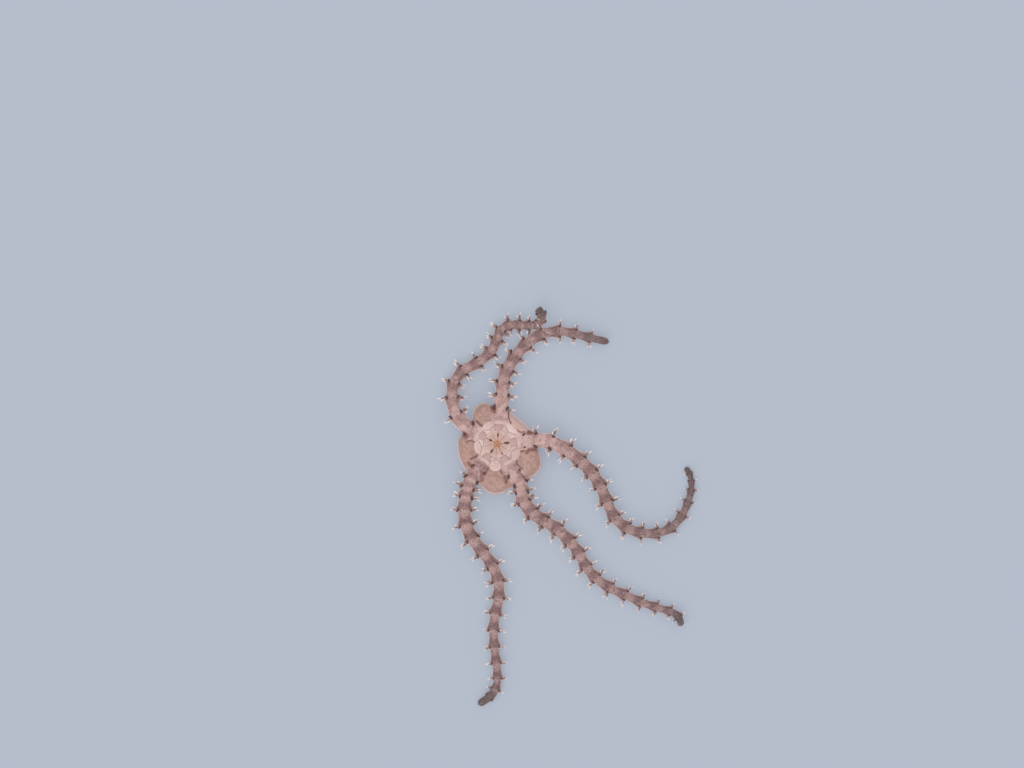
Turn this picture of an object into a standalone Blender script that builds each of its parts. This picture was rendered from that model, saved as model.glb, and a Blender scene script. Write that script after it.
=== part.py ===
"""A dwarf brittle star lying on its back, mouth side up, as a still life-size model.

Metres, +Z up. The origin is on the ground under the mouth, +X and +Y follow the
plan of the pose, and the arms lie on the ground at z = 0.
"""

import math
import random
from collections import namedtuple

import bmesh
import bpy
from mathutils import Matrix, Vector

MM = 0.001

# Driving sizes of the disc
GAP = 0.06 * MM
DISC_SIDES = 48
# Height in millimetres and share of the outline's radius, from the underside to the mouth side
DISC_PROFILE = ((0.00, 0.56), (0.05, 0.74), (0.18, 0.91), (0.40, 1.00),
                (0.62, 0.975), (0.76, 0.88), (0.82, 0.74), (0.80, 0.58))
DISC_TOP = 0.82 * MM
LOBE_SWELL = 0.05 * MM
# Heights in millimetres between which the lobes swell, and the share of the radius they start at
LOBE_HEIGHTS = (0.60, 0.83)
LOBE_INNER = 0.6
# Degrees from an arm at which a lobe starts, and over which it reaches its full swell
LOBE_START = 12
LOBE_RISE = 20
# Direction in degrees and radius of the disc's edge, at each arm and at each lobe between arms
DISC_EDGE = ((2, 1.34 * MM), (50, 1.15 * MM), (86, 1.23 * MM), (113, 1.53 * MM), (148, 1.12 * MM),
             (180, 1.41 * MM), (233, 1.46 * MM), (268, 1.77 * MM), (296, 1.56 * MM), (328, 1.74 * MM))
BAND_START = 0.56 * MM
BAND_PITCH = 0.33 * MM
BAND_RISE = 0.11 * MM
BAND_RISE_LIMIT = 1.2
RADIAL_SHIELD = (0.28 * MM, 0.19 * MM)
SHIELD_SIDES = 8
# Shares of the shield's length or width: how far in it lies, its reach from the middle line,
# its round edge and its straight edge
SHIELD_INSET = 0.40
SHIELD_ASIDE = 0.50
SHIELD_ROUND = 0.62
SHIELD_STRAIGHT = -0.35

# Driving sizes of the mouth
JAW_DIRECTIONS = (-94, -34, 48, 117, 190)
JAW_TIP = 0.13 * MM
JAW_MIDDLE = 0.55 * MM
JAW_SIDE = ((0.45 * MM, 0.19 * MM), (0.62 * MM, 0.25 * MM), (0.75 * MM, 0.16 * MM))
JAW_TOP = 0.86 * MM
JAW_CROWN_SHARE = 0.80
SHIELD_CENTRE = 0.80 * MM
SHIELD_RADIUS = 0.17 * MM
SHIELD_STEPS = 5
SLIT_END = 0.50 * MM
PIT_FLOOR = 0.42 * MM
MOUTH_RADIUS = 0.15 * MM
MOUTH_FLOOR = 0.24 * MM
PAPILLA = 0.034 * MM
# Shares of the jaw's side at which the papillae stand, and how far out on it
PAPILLA_PLACES = (0.42, 0.80)
PAPILLA_ASIDE = 0.80
PAPILLA_SIDES = 4
BUTTON_SHARE = 0.84
BUTTON_HEIGHT = 0.05 * MM
BUTTON_SIDES = 9
# Share of a button's radius and of its height, from its foot to its top
BUTTON_LEVELS = ((1.0, -2.0), (1.0, 0.4), (0.62, 1.0))
SHIELD_ARC = 70
THROAT_SIDES = 12

# Driving sizes of the arms
FLARE_BASE = 0.56 * MM
NECK_BASE = 0.46 * MM
FLARE_TAPER = 0.60
NECK_TAPER = 0.78
FLARE_TAPER_POWER = 2.2
NECK_TAPER_POWER = 1.7
HEIGHT_SHARE = 0.80
ARM_LIFT = 0.28 * MM
LIFT_SEGMENTS = 3.5
TIP_LIFT_SEGMENTS = 4
# Places count segments outwards from the disc's edge, and go below zero on the disc
ROOT = -0.28
NECK_PLACE = 0.21
SLIM_SEGMENTS = 3.0
TIP_SHARE = 0.6
PLATE_RAISE = 0.025 * MM
# Place along a segment, from its inner to its outer joint, and how far it is flared
SEGMENT_STATIONS = ((0.10, 0.25), (0.32, 0.0), (0.72, 0.7), (0.95, 1.0))
# An eight-sided section, in shares of half the width and half the height
SECTION = ((-0.5, -1), (0.5, -1), (1, -0.35), (1, 0.35), (0.5, 1), (-0.5, 1), (-1, 0.35), (-1, -0.35))
# A plate's outline, as places along the segment and shares of half the width
ARM_PLATE = ((0.37, -0.18), (0.37, 0.18), (0.63, 0.44), (0.90, 0.35), (0.90, -0.35), (0.63, -0.44))

# Driving sizes of the spines
SPINE_LENGTH = 0.26 * MM
SPINE_ROOT = 0.052 * MM
SPINE_TIP_SHARE = 0.36
SPINE_PLACE = 0.92
SPINE_SUNK = 0.5
# Each spine of a side: rise and lean towards the arm's tip in degrees, height on the side, length share
SPINE_ROW = ((30, -14, 0.55, 0.92), (4, 14, 0.0, 1.05), (-9, -2, -0.5, 1.0))
SPINE_STEPS = 6
SPINE_SIDES = 4
# How much the spines shorten towards the tip of the arm, and how late
SPINE_TAPER = 0.72
SPINE_TAPER_POWER = 3
# Lean that is added at the tip of the arm, and the uneven rise, lean and length, in degrees and shares
TIP_LEAN = 16
UNEVEN_RISE = 4
UNEVEN_LEAN = 6
UNEVEN_LENGTH = (0.9, 1.06)
SEED = 7
# A short spine's thickness: a fixed share, and a share for each full length
SPINE_STOUT = 0.45
# Shares of a spine at which its distances are read, and the lengths it is tried at
READ_SHARES = (0.5, 0.75, 1.0)
TRIED_LENGTHS = (1.0, 0.85, 0.7)
MARKS_IN_SEGMENT = 4
OWN_REACH = 1.3
NEIGHBOURHOOD = 4 * SPINE_LENGTH
FEWER_FROM = 0.20

ArmPlan = namedtuple("ArmPlan", "joints cuts grown slim tip_lift")
Spine = namedtuple("Spine", "node root tip")

# Joints between segments in millimetres, chosen by hand, from the disc's edge to the tip
ARMS = {
    "arm_a": ArmPlan(((-0.99, 0.50), (-1.44, 1.03), (-1.58, 1.62), (-1.52, 2.13), (-1.18, 2.56),
                      (-0.66, 2.86), (-0.23, 3.22), (-0.02, 3.64), (0.12, 3.97), (0.41, 4.14),
                      (0.77, 4.15), (1.10, 4.14), (1.38, 4.18), (1.54, 4.33), (1.53, 4.55),
                      (1.38, 4.73)), (3, 7, 11), 21, 0.16, 0.35 * MM),
    "arm_b": ArmPlan(((0.11, 1.23), (0.17, 1.69), (0.20, 2.15), (0.36, 2.62), (0.65, 3.09),
                      (1.06, 3.51), (1.60, 3.84), (2.20, 3.92), (2.74, 3.83), (3.28, 3.69),
                      (3.90, 3.55)), (3, 6), 13, 0.0, 0.10 * MM),
    "arm_c": ArmPlan(((1.33, 0.14), (1.90, 0.05), (2.45, -0.25), (2.92, -0.62), (3.31, -1.03),
                      (3.61, -1.50), (3.84, -2.06), (4.12, -2.60), (4.55, -2.96), (5.07, -3.12),
                      (5.63, -3.12), (6.12, -2.90), (6.48, -2.46), (6.68, -2.00), (6.78, -1.60),
                      (6.78, -1.29), (6.71, -1.04), (6.58, -0.82)), (4, 7, 10, 13), 15, 0.1, 0.0),
    "arm_d": ArmPlan(((0.79, -1.36), (0.84, -1.66), (0.93, -2.02), (1.24, -2.43), (1.68, -2.72),
                      (2.13, -3.02), (2.55, -3.43), (2.87, -3.87), (3.12, -4.33), (3.47, -4.72),
                      (3.96, -5.05), (4.51, -5.31), (5.05, -5.55), (5.58, -5.73), (6.05, -5.87),
                      (6.34, -6.07), (6.43, -6.38)), (4, 8, 12), 18, 0.0, 0.10 * MM),
    "arm_e": ArmPlan(((-0.89, -1.22), (-1.02, -1.52), (-1.10, -1.84), (-1.15, -2.32), (-1.09, -2.84),
                      (-0.86, -3.34), (-0.50, -3.80), (-0.16, -4.29), (0.03, -4.84), (0.04, -5.41),
                      (-0.08, -5.97), (-0.14, -6.55), (-0.10, -7.13), (-0.04, -7.69), (0.00, -8.22),
                      (-0.08, -8.60), (-0.31, -8.88), (-0.67, -9.12)), (4, 8, 12), 18, 0.0, 0.0),
}

# Colours as linear red, green and blue, then roughness
FINISHES = {
    "disc": ((0.46, 0.29, 0.25), 0.45),
    "jaw": ((0.60, 0.38, 0.33), 0.42),
    "arm": ((0.30, 0.18, 0.19), 0.45),
}


def finish(name, kind):
    """Make the material of one node."""
    colour, roughness = FINISHES[kind]
    material = bpy.data.materials.new(name)
    material.use_nodes = True
    shader = material.node_tree.nodes["Principled BSDF"]
    shader.inputs["Base Color"].default_value = (*colour, 1.0)
    shader.inputs["Roughness"].default_value = roughness
    shader.inputs["Metallic"].default_value = 0.0
    return material


def to_object(name, body):
    """Turn a finished bmesh into a named object."""
    bmesh.ops.recalc_face_normals(body, faces=body.faces)
    mesh = bpy.data.meshes.new(name)
    body.to_mesh(mesh)
    body.free()
    piece = bpy.data.objects.new(name, mesh)
    bpy.context.scene.collection.objects.link(piece)
    return piece


def polar(radius, degrees):
    """A point in plan from its distance and its direction."""
    angle = math.radians(degrees)
    return Vector((radius * math.cos(angle), radius * math.sin(angle), 0.0))


def across_of(along):
    """The level direction square to another one."""
    return Vector((-along.y, along.x, 0.0))


def between(pairs, value):
    """Read a value from a list of places and values, in straight steps."""
    for (start, low), (end, high) in zip(pairs, pairs[1:]):
        if value <= end:
            share = max((value - start) / (end - start), 0.0)
            return low + (high - low) * share
    return pairs[-1][1]


def ease(share):
    """A smooth rise from 0 to 1."""
    share = min(max(share, 0.0), 1.0)
    return share * share * (3 - 2 * share)


def loft(rings):
    """Close a stack of equal rings of points into one solid."""
    body = bmesh.new()
    levels = [[body.verts.new(point) for point in ring] for ring in rings]
    count = len(rings[0])
    for low, high in zip(levels, levels[1:]):
        for i in range(count):
            j = (i + 1) % count
            body.faces.new((low[i], low[j], high[j], high[i]))
    body.faces.new(list(reversed(levels[0])))
    body.faces.new(levels[-1])
    return body


def prism(outline, low, high):
    """A solid with a flat outline between two heights."""
    return loft([[Vector((p.x, p.y, z)) for p in outline] for z in (low, high)])


def keep_largest(mesh):
    """Drop every loose surface but the one with the most faces."""
    body = bmesh.new()
    body.from_mesh(mesh)
    left = set(body.faces)
    shells = []
    while left:
        shell = {left.pop()}
        front = list(shell)
        while front:
            near = {other for edge in front.pop().edges for other in edge.link_faces} - shell
            shell |= near
            front += near
        left -= shell
        shells.append(shell)
    largest = max(shells, key=len)
    bmesh.ops.delete(body, geom=[face for face in body.faces if face not in largest], context="FACES")
    body.to_mesh(mesh)
    body.free()


def combine(piece, bodies, operation, solver="EXACT"):
    """Join bodies to a piece, or cut them out of it, with one Boolean."""
    group = bpy.data.collections.new(operation)
    bpy.context.scene.collection.children.link(group)
    extras = [to_object("extra", body) for body in bodies]
    for extra in extras:
        bpy.context.scene.collection.objects.unlink(extra)
        group.objects.link(extra)
    modifier = piece.modifiers.new(operation, "BOOLEAN")
    modifier.operation = operation
    modifier.solver = solver
    modifier.operand_type = "COLLECTION"
    modifier.collection = group
    bpy.context.view_layer.objects.active = piece
    bpy.ops.object.modifier_apply(modifier=modifier.name)
    for extra in extras:
        bpy.data.objects.remove(extra)
    bpy.data.collections.remove(group)
    keep_largest(piece.data)


def dress(piece, kind):
    """Give a node its own material."""
    piece.data.materials.clear()
    piece.data.materials.append(finish(piece.name, kind))


def edge_radius(degrees):
    """Radius of the disc's edge in one direction, eased between the arms and the lobes."""
    angle = degrees % 360
    marks = list(DISC_EDGE) + [(DISC_EDGE[0][0] + 360, DISC_EDGE[0][1])]
    if angle < marks[0][0]:
        angle += 360
    for (start, inner), (end, outer) in zip(marks, marks[1:]):
        if start <= angle <= end:
            share = (1 - math.cos(math.pi * (angle - start) / (end - start))) / 2
            return inner + (outer - inner) * share
    return marks[0][1]


def lobe_share(degrees):
    """How far a direction lies between two arms: 0 on an arm, 1 in the middle of a lobe."""
    arms = [math.degrees(math.atan2(plan.joints[0][1], plan.joints[0][0])) for plan in ARMS.values()]
    nearest = min(abs((degrees - arm + 180) % 360 - 180) for arm in arms)
    return ease((nearest - LOBE_START) / LOBE_RISE)


def joint_at(plan, number):
    """One joint of an arm, carried on towards the mouth and past the tip in straight steps."""
    last = len(plan.joints) - 1
    inner, outer = (Vector((*plan.joints[i], 0.0)) * MM for i in (max(min(number, last), 0), last - 1))
    if number > last:
        return 2 * inner - outer
    return inner * (1 + min(number, 0) * BAND_PITCH / inner.length)


def route_point(plan, place):
    """Point and direction on the smooth curve through an arm's joints."""
    first = min(math.floor(place), len(plan.joints) - 2)
    t = place - first
    before, a, b, after = (joint_at(plan, first + step) for step in (-1, 0, 1, 2))
    lead, trail = (b - before) / 2, (after - a) / 2
    point = (a * (2 * t**3 - 3 * t**2 + 1) + lead * (t**3 - 2 * t**2 + t)
             + b * (3 * t**2 - 2 * t**3) + trail * (t**3 - t**2))
    slope = (a * (6 * t**2 - 6 * t) + lead * (3 * t**2 - 4 * t + 1)
             + b * (6 * t - 6 * t**2) + trail * (3 * t**2 - 2 * t))
    return point, slope.normalized()


def grown_share(plan, place):
    """How far along a whole arm a place lies."""
    return min(max(place / plan.grown, 0.0), 1.0)


def arm_width(plan, place, flared):
    """Width of an arm between a segment's neck and its flare."""
    grown = grown_share(plan, place)
    neck = NECK_BASE * (1 - NECK_TAPER * grown**NECK_TAPER_POWER)
    flare = FLARE_BASE * (1 - FLARE_TAPER * grown**FLARE_TAPER_POWER)
    return (neck + (flare - neck) * flared) * (1 - plan.slim * ease(place / SLIM_SEGMENTS))


def arm_lift(plan, place):
    """How high the underside of an arm is carried above the ground."""
    near_disc = ARM_LIFT * (1 - ease((place - ROOT) / LIFT_SEGMENTS))
    to_tip = len(plan.joints) - 1 - place
    near_tip = plan.tip_lift * ease(1 - to_tip / TIP_LIFT_SEGMENTS)
    on_disc = BAND_RISE * min(max(ROOT - place, 0.0), BAND_RISE_LIMIT)
    return near_disc + near_tip + on_disc


def arm_middle(plan, place):
    """Height of an arm's axis."""
    return arm_lift(plan, place) + arm_width(plan, place, 1.0) * HEIGHT_SHARE / 2


def arm_ring(plan, place, flared, shift=0.0, share=1.0):
    """One section of an arm, upright and square to its route."""
    point, along = route_point(plan, place)
    half = arm_width(plan, place, flared) / 2 * share
    side = across_of(along) * half
    up = Vector((0, 0, half * HEIGHT_SHARE))
    centre = point + along * shift + Vector((0, 0, arm_middle(plan, place)))
    return [centre + side * across + up * rise for across, rise in SECTION]


def arm_core(plan, start, end):
    """The jointed core of an arm between two places."""
    stations = [(segment + share, flared) for segment in range(math.floor(start), math.ceil(end))
                for share, flared in SEGMENT_STATIONS]
    clear = GAP / BAND_PITCH / 2
    inner = [station for station in stations if start + clear < station[0] < end - clear]
    flares = sorted(stations)
    rings = [arm_ring(plan, start, between(flares, start), GAP / 2)]
    rings += [arm_ring(plan, place, flared) for place, flared in inner]
    if end < len(plan.joints) - 1:
        rings.append(arm_ring(plan, end, between(flares, end), -GAP / 2))
    else:
        rings.append(arm_ring(plan, end, 0.0, 0.0, TIP_SHARE))
    return loft(rings)


def arm_plate(plan, segment):
    """The raised plate on the mouth side of one segment."""
    low, high = [], []
    for share, across in ARM_PLATE:
        place = segment + share
        point, along = route_point(plan, place)
        half = arm_width(plan, place, between(SEGMENT_STATIONS, share)) / 2
        point = point + across_of(along) * across * half
        middle = arm_middle(plan, place)
        top = middle + half * HEIGHT_SHARE + PLATE_RAISE
        low.append(Vector((point.x, point.y, middle)))
        high.append(Vector((point.x, point.y, top)))
    return loft([low, high])


def spine_length(plan, segment):
    """Length of the spines of one segment."""
    return SPINE_LENGTH * (1 - SPINE_TAPER * grown_share(plan, segment)**SPINE_TAPER_POWER)


def plan_spine(plan, segment, hand, row, jitter):
    """Root and tip of one spine, before its neighbours are looked at."""
    rise, lean, height, reach = row
    point, along = route_point(plan, segment + SPINE_PLACE)
    half = arm_width(plan, segment + SPINE_PLACE, 1.0) / 2
    rise = math.radians(rise + jitter.uniform(-UNEVEN_RISE, UNEVEN_RISE))
    lean += TIP_LEAN * grown_share(plan, segment)
    lean = math.radians(lean + jitter.uniform(-UNEVEN_LEAN, UNEVEN_LEAN))
    out = across_of(along) * hand
    root = point + out * half * SPINE_SUNK
    root.z = arm_middle(plan, segment + SPINE_PLACE) + height * half * HEIGHT_SHARE
    way = (out * math.cos(lean) + along * math.sin(lean)) * math.cos(rise)
    way.z = math.sin(rise)
    length = spine_length(plan, segment) * reach * jitter.uniform(*UNEVEN_LENGTH)
    length += half * (1 - SPINE_SUNK)
    return root, root + way * length


def gap_between(first, second):
    """Smallest distance between two spines, read at a few points of each."""
    places = [step / SPINE_STEPS for step in range(SPINE_STEPS + 1)]
    mine = [first.root.lerp(first.tip, share) for share in places]
    theirs = [second.root.lerp(second.tip, share) for share in places]
    return min((a - b).length for a in mine for b in theirs)


def arm_marks():
    """Places along every arm with the arm's half width there, for keeping spines clear."""
    marks = []
    for name, plan in ARMS.items():
        for step in range(MARKS_IN_SEGMENT * (len(plan.joints) - 1)):
            place = step / MARKS_IN_SEGMENT
            point, _ = route_point(plan, place)
            marks.append((name, place, point.xy, arm_width(plan, place, 1.0) / 2))
    return marks


def is_clear(spine, arm, place, marks, others):
    """Whether a spine keeps off the disc, the other arms and the spines of other nodes."""
    margin = GAP + SPINE_ROOT
    for share in READ_SHARES:
        spot = spine.root.lerp(spine.tip, share).xy
        if spot.length < edge_radius(math.degrees(math.atan2(spot.y, spot.x))) + margin:
            return False
        for name, mark, centre, half in marks:
            if name == arm and abs(mark - place) < OWN_REACH:
                continue
            if (spot - centre).length < half + margin:
                return False
    for other in others:
        if other.node == spine.node or (other.root - spine.root).length > NEIGHBOURHOOD:
            continue
        if gap_between(spine, other) < margin + SPINE_ROOT:
            return False
    return True


def lengths_of(name, plan):
    """Name, start and end of each length that an arm is made in."""
    places = [ROOT, *(cut + NECK_PLACE for cut in plan.cuts), len(plan.joints) - 1]
    return [(f"{name}_{i}", *ends) for i, ends in enumerate(zip(places, places[1:]), 1)]


def plan_spines():
    """Place every spine of every arm, each shortened until it is clear of other nodes."""
    jitter = random.Random(SEED)
    marks = arm_marks()
    spines = []
    for name, plan in ARMS.items():
        for node, start, end in lengths_of(name, plan):
            for segment in range(max(math.ceil(start - SPINE_PLACE), 0), math.ceil(end - SPINE_PLACE)):
                rows = SPINE_ROW if grown_share(plan, segment) < FEWER_FROM else SPINE_ROW[1:]
                for hand in (-1, 1):
                    for row in rows:
                        root, tip = plan_spine(plan, segment, hand, row, jitter)
                        for share in TRIED_LENGTHS:
                            spine = Spine(node, root, root.lerp(tip, share))
                            if is_clear(spine, name, segment + SPINE_PLACE, marks, spines):
                                spines.append(spine)
                                break
    return spines


def spine_body(spine):
    """A tapered, blunt spine of four sides."""
    way = spine.tip - spine.root
    radius = SPINE_ROOT * min(1.0, SPINE_STOUT * (1 + way.length / SPINE_LENGTH))
    turn = way.to_track_quat("Z", "Y").to_matrix().to_4x4()
    place = Matrix.Translation(spine.root + way / 2) @ turn
    body = bmesh.new()
    bmesh.ops.create_cone(body, cap_ends=True, segments=SPINE_SIDES, radius1=radius,
                          radius2=radius * SPINE_TIP_SHARE, depth=way.length, matrix=place)
    return body


def make_arm(name, plan, spines):
    """Make every length of one arm, with its plates and spines."""
    for node, start, end in lengths_of(name, plan):
        piece = to_object(node, arm_core(plan, start, end))
        plates = range(math.ceil(start - ARM_PLATE[0][0]), math.ceil(end - ARM_PLATE[3][0]))
        extras = [arm_plate(plan, segment) for segment in plates]
        extras += [spine_body(spine) for spine in spines if spine.node == node]
        combine(piece, extras, "UNION")
        dress(piece, "arm")


def jaw_outline(degrees, grow=0.0):
    """Outline of one jaw with its shield, or of its pocket when grown."""
    out = polar(1, degrees)
    side = across_of(out)
    points = [out * JAW_TIP]
    points += [out * along + side * (across + grow) for along, across in JAW_SIDE]
    for step in range(SHIELD_STEPS + 1):
        turn = math.radians(SHIELD_ARC * (1 - 2 * step / SHIELD_STEPS))
        radius = SHIELD_RADIUS + grow
        points.append(out * (SHIELD_CENTRE + radius * math.cos(turn)) + side * radius * math.sin(turn))
    points += [out * along - side * (across + grow) for along, across in reversed(JAW_SIDE)]
    return list(reversed(points))


def mouth_pit():
    """Outline of the hollow that the jaws sit in, with a slit towards each arm."""
    outline = []
    nexts = JAW_DIRECTIONS[1:] + (JAW_DIRECTIONS[0] + 360,)
    for direction, following in zip(JAW_DIRECTIONS, nexts):
        outline += jaw_outline(direction, GAP)[1:-2]
        outline.append(polar(SLIT_END, (direction + following) / 2))
    return outline


def jaw_body(degrees):
    """One jaw: upright sides and a narrower crown."""
    outline = jaw_outline(degrees)
    middle = polar(JAW_MIDDLE, degrees)
    crown = [middle + (point - middle) * JAW_CROWN_SHARE for point in outline]
    shoulder = JAW_TOP - (1 - JAW_CROWN_SHARE) * SHIELD_RADIUS * 2
    levels = ((outline, PIT_FLOOR + GAP), (outline, shoulder), (crown, JAW_TOP))
    return loft([[Vector((p.x, p.y, height)) for p in ring] for ring, height in levels])


def dome(centre, radius, height, sides):
    """A low button with a bevelled rim, standing on a sunk foot."""
    rings = []
    for share, rise in BUTTON_LEVELS:
        ring = [centre + polar(radius * share, 360 * i / sides) for i in range(sides)]
        rings.append([Vector((p.x, p.y, centre.z + rise * height)) for p in ring])
    return loft(rings)


def jaw_details(degrees):
    """The round shield and the small papillae along the edges of one jaw."""
    out = polar(1, degrees)
    side = across_of(out)
    lift = Vector((0, 0, JAW_TOP))
    button = SHIELD_RADIUS * BUTTON_SHARE
    bodies = [dome(out * SHIELD_CENTRE + lift, button, BUTTON_HEIGHT, BUTTON_SIDES)]
    low = Vector((0, 0, JAW_TOP - PAPILLA * 1.2))
    bodies.append(dome(out * (JAW_TIP + PAPILLA * 1.6) + low, PAPILLA, 2 * PAPILLA, PAPILLA_SIDES))
    along, across = JAW_SIDE[0]
    for share in PAPILLA_PLACES:
        for hand in (-1, 1):
            aside = hand * across * share * PAPILLA_ASIDE
            place = out * (JAW_TIP + (along - JAW_TIP) * share) + side * aside
            bodies.append(dome(place + low, PAPILLA, 1.8 * PAPILLA, PAPILLA_SIDES))
    return bodies


def make_jaws():
    """Make the five jaws round the mouth."""
    for number, direction in enumerate(JAW_DIRECTIONS, 1):
        jaw = to_object(f"jaw_{number}", jaw_body(direction))
        combine(jaw, jaw_details(direction), "UNION")
        dress(jaw, "jaw")


def disc_rings():
    """Sections of the disc from its flat underside up to its mouth side."""
    rings = []
    for height, share in DISC_PROFILE:
        ring = []
        for step in range(DISC_SIDES):
            degrees = 360 * step / DISC_SIDES
            point = polar(edge_radius(degrees) * share, degrees)
            swells = LOBE_HEIGHTS[0] < height < LOBE_HEIGHTS[1] and share > LOBE_INNER
            swell = LOBE_SWELL * lobe_share(degrees) * swells
            point.z = height * MM + swell
            ring.append(point)
        rings.append(ring)
    return rings


def surface_height(point, mouth_side):
    """Height of the disc's surface over a point, on its mouth side or its underside."""
    half = DISC_PROFILE[3:] if mouth_side else DISC_PROFILE[:4]
    pairs = sorted((share, height * MM) for height, share in half)
    degrees = math.degrees(math.atan2(point.y, point.x))
    return between(pairs, point.length / edge_radius(degrees))


def disc_plates():
    """The bands of plates on the mouth side and the paired shields on the underside."""
    bodies = []
    for plan in ARMS.values():
        port, _ = route_point(plan, ROOT)
        count = round((joint_at(plan, 0).length - BAND_START) / BAND_PITCH)
        bodies.append(arm_core(plan, -count, ROOT / 2))
        bodies += [arm_plate(plan, segment) for segment in range(-count, 0)]
        for hand in (-1, 1):
            bodies.append(radial_shield(port.normalized(), port.length, hand))
    return bodies


def radial_shield(out, reach, hand):
    """One of the pair of half-moon shields under the disc at the root of an arm."""
    length, width = RADIAL_SHIELD
    side = across_of(out) * hand
    low, high = [], []
    for step in range(SHIELD_SIDES):
        turn = math.radians(360 * step / SHIELD_SIDES)
        round_edge = max(math.sin(turn), SHIELD_STRAIGHT)
        point = out * (reach - length * SHIELD_INSET + length / 2 * math.cos(turn))
        point = point + side * width * (SHIELD_ASIDE + SHIELD_ROUND * round_edge)
        height = max(surface_height(point, False), 2 * PLATE_RAISE)
        low.append(Vector((point.x, point.y, height - PLATE_RAISE)))
        high.append(Vector((point.x, point.y, height + 8 * PLATE_RAISE)))
    if hand > 0:
        low.reverse()
        high.reverse()
    return loft([low, high])


def port_outline(plan):
    """Plan of the notch in the disc's edge that one arm leaves from."""
    point, along = route_point(plan, ROOT)
    side = across_of(along) * (FLARE_BASE / 2 + GAP)
    near = point - along * GAP / 2
    far = point + along * FLARE_BASE * 2
    return [near - side, far - side, far + side, near + side]


def make_disc():
    """Make the disc, with its plates, slits, mouth hollow and a notch for each arm."""
    disc = to_object("disc", loft(disc_rings()))
    combine(disc, disc_plates(), "UNION")
    throat = [polar(MOUTH_RADIUS, 360 * step / THROAT_SIDES) for step in range(THROAT_SIDES)]
    cuts = [prism(mouth_pit(), PIT_FLOOR, 2 * DISC_TOP), prism(throat, MOUTH_FLOOR, 2 * DISC_TOP)]
    for plan in ARMS.values():
        cuts.append(prism(port_outline(plan), -DISC_TOP, 2 * DISC_TOP))
    combine(disc, cuts, "DIFFERENCE", "MANIFOLD")
    dress(disc, "disc")


def main():
    """Clear the scene and model the brittle star."""
    for old in list(bpy.data.objects):
        bpy.data.objects.remove(old)
    make_disc()
    make_jaws()
    spines = plan_spines()
    for name, plan in ARMS.items():
        make_arm(name, plan, spines)


main()
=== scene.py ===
"""Dresses the small brittle star, which lies on its back with its mouth side up.

Everything is modelled in millimetres and scaled to metres at the end, because some of
Blender's tools stop working on lengths far below a millimetre. The plan is the frame's own:
+X and +Y lie on the ground, +Z points up out of the mouth.
"""

import logging
import math
import random
from dataclasses import dataclass, field
from enum import Enum

import bpy
import numpy as np
from mathutils import Matrix, Vector
from mathutils.kdtree import KDTree


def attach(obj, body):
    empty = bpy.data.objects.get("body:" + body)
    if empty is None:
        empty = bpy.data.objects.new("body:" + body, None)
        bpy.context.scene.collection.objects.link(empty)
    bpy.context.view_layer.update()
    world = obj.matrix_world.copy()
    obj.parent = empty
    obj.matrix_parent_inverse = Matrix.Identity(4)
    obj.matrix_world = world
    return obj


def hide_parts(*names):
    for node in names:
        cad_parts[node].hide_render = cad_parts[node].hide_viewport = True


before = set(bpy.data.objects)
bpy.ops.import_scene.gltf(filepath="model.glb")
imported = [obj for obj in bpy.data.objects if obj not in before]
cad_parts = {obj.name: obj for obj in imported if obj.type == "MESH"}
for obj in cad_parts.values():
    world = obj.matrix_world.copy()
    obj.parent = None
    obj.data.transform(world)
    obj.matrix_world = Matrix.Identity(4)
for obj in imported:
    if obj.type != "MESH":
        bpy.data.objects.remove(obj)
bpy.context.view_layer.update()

log = logging.getLogger("brittle_star")
METRES = 0.001
# Height that every piece keeps over the ground, and the smallest share of a width left at a tip
CLEARANCE = 0.003
BLUNT_TIP = 0.12
# How square the arms are in section: 1 is round
SECTION_POWER = 0.82
# Height of the plates round the mouth, and half the gap between them
MOUTH_LEVEL = 0.825
MOUTH_GAP = 0.0015
# Size of one copy's and one mouth plate's patch on the unwrap
COPY_PATCH = 0.003
PLATE_PATCH = 0.02
Colour = tuple[float, float, float]
Pair = tuple[float, float]


class Side(Enum):
    """The two faces of the disc, by the middle of each on the unwrap."""

    MOUTH = 0.75
    BACK = 0.25


# Shaders


class Wire:
    """A node's output, on which Python's own operators add Math nodes."""

    def __init__(self, shader: "Shader", socket: bpy.types.NodeSocket) -> None:
        """Keep the shader and the socket."""
        self.shader = shader
        self.socket = socket

    def _math(self, operation: str, first: "Wire | float", second: "Wire | float") -> "Wire":
        """Add one Math node."""
        return self.shader.node("ShaderNodeMath", {"operation": operation}, {0: first, 1: second})

    def __add__(self, other: "Wire | float") -> "Wire":
        """Add."""
        return self._math("ADD", self, other)

    def __mul__(self, other: "Wire | float") -> "Wire":
        """Multiply."""
        return self._math("MULTIPLY", self, other)

    def __sub__(self, other: "Wire | float") -> "Wire":
        """Subtract."""
        return self._math("SUBTRACT", self, other)

    def __rsub__(self, other: float) -> "Wire":
        """Subtract, the other way round."""
        return self._math("SUBTRACT", other, self)

    __radd__ = __add__

    def ramp(self, low: float, high: float) -> "Wire":
        """Rise smoothly from 0 at the low value to 1 at the high one."""
        return self.shader.node("ShaderNodeMapRange", {"interpolation_type": "SMOOTHSTEP"},
                                {"Value": self, "From Min": low, "From Max": high})


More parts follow.
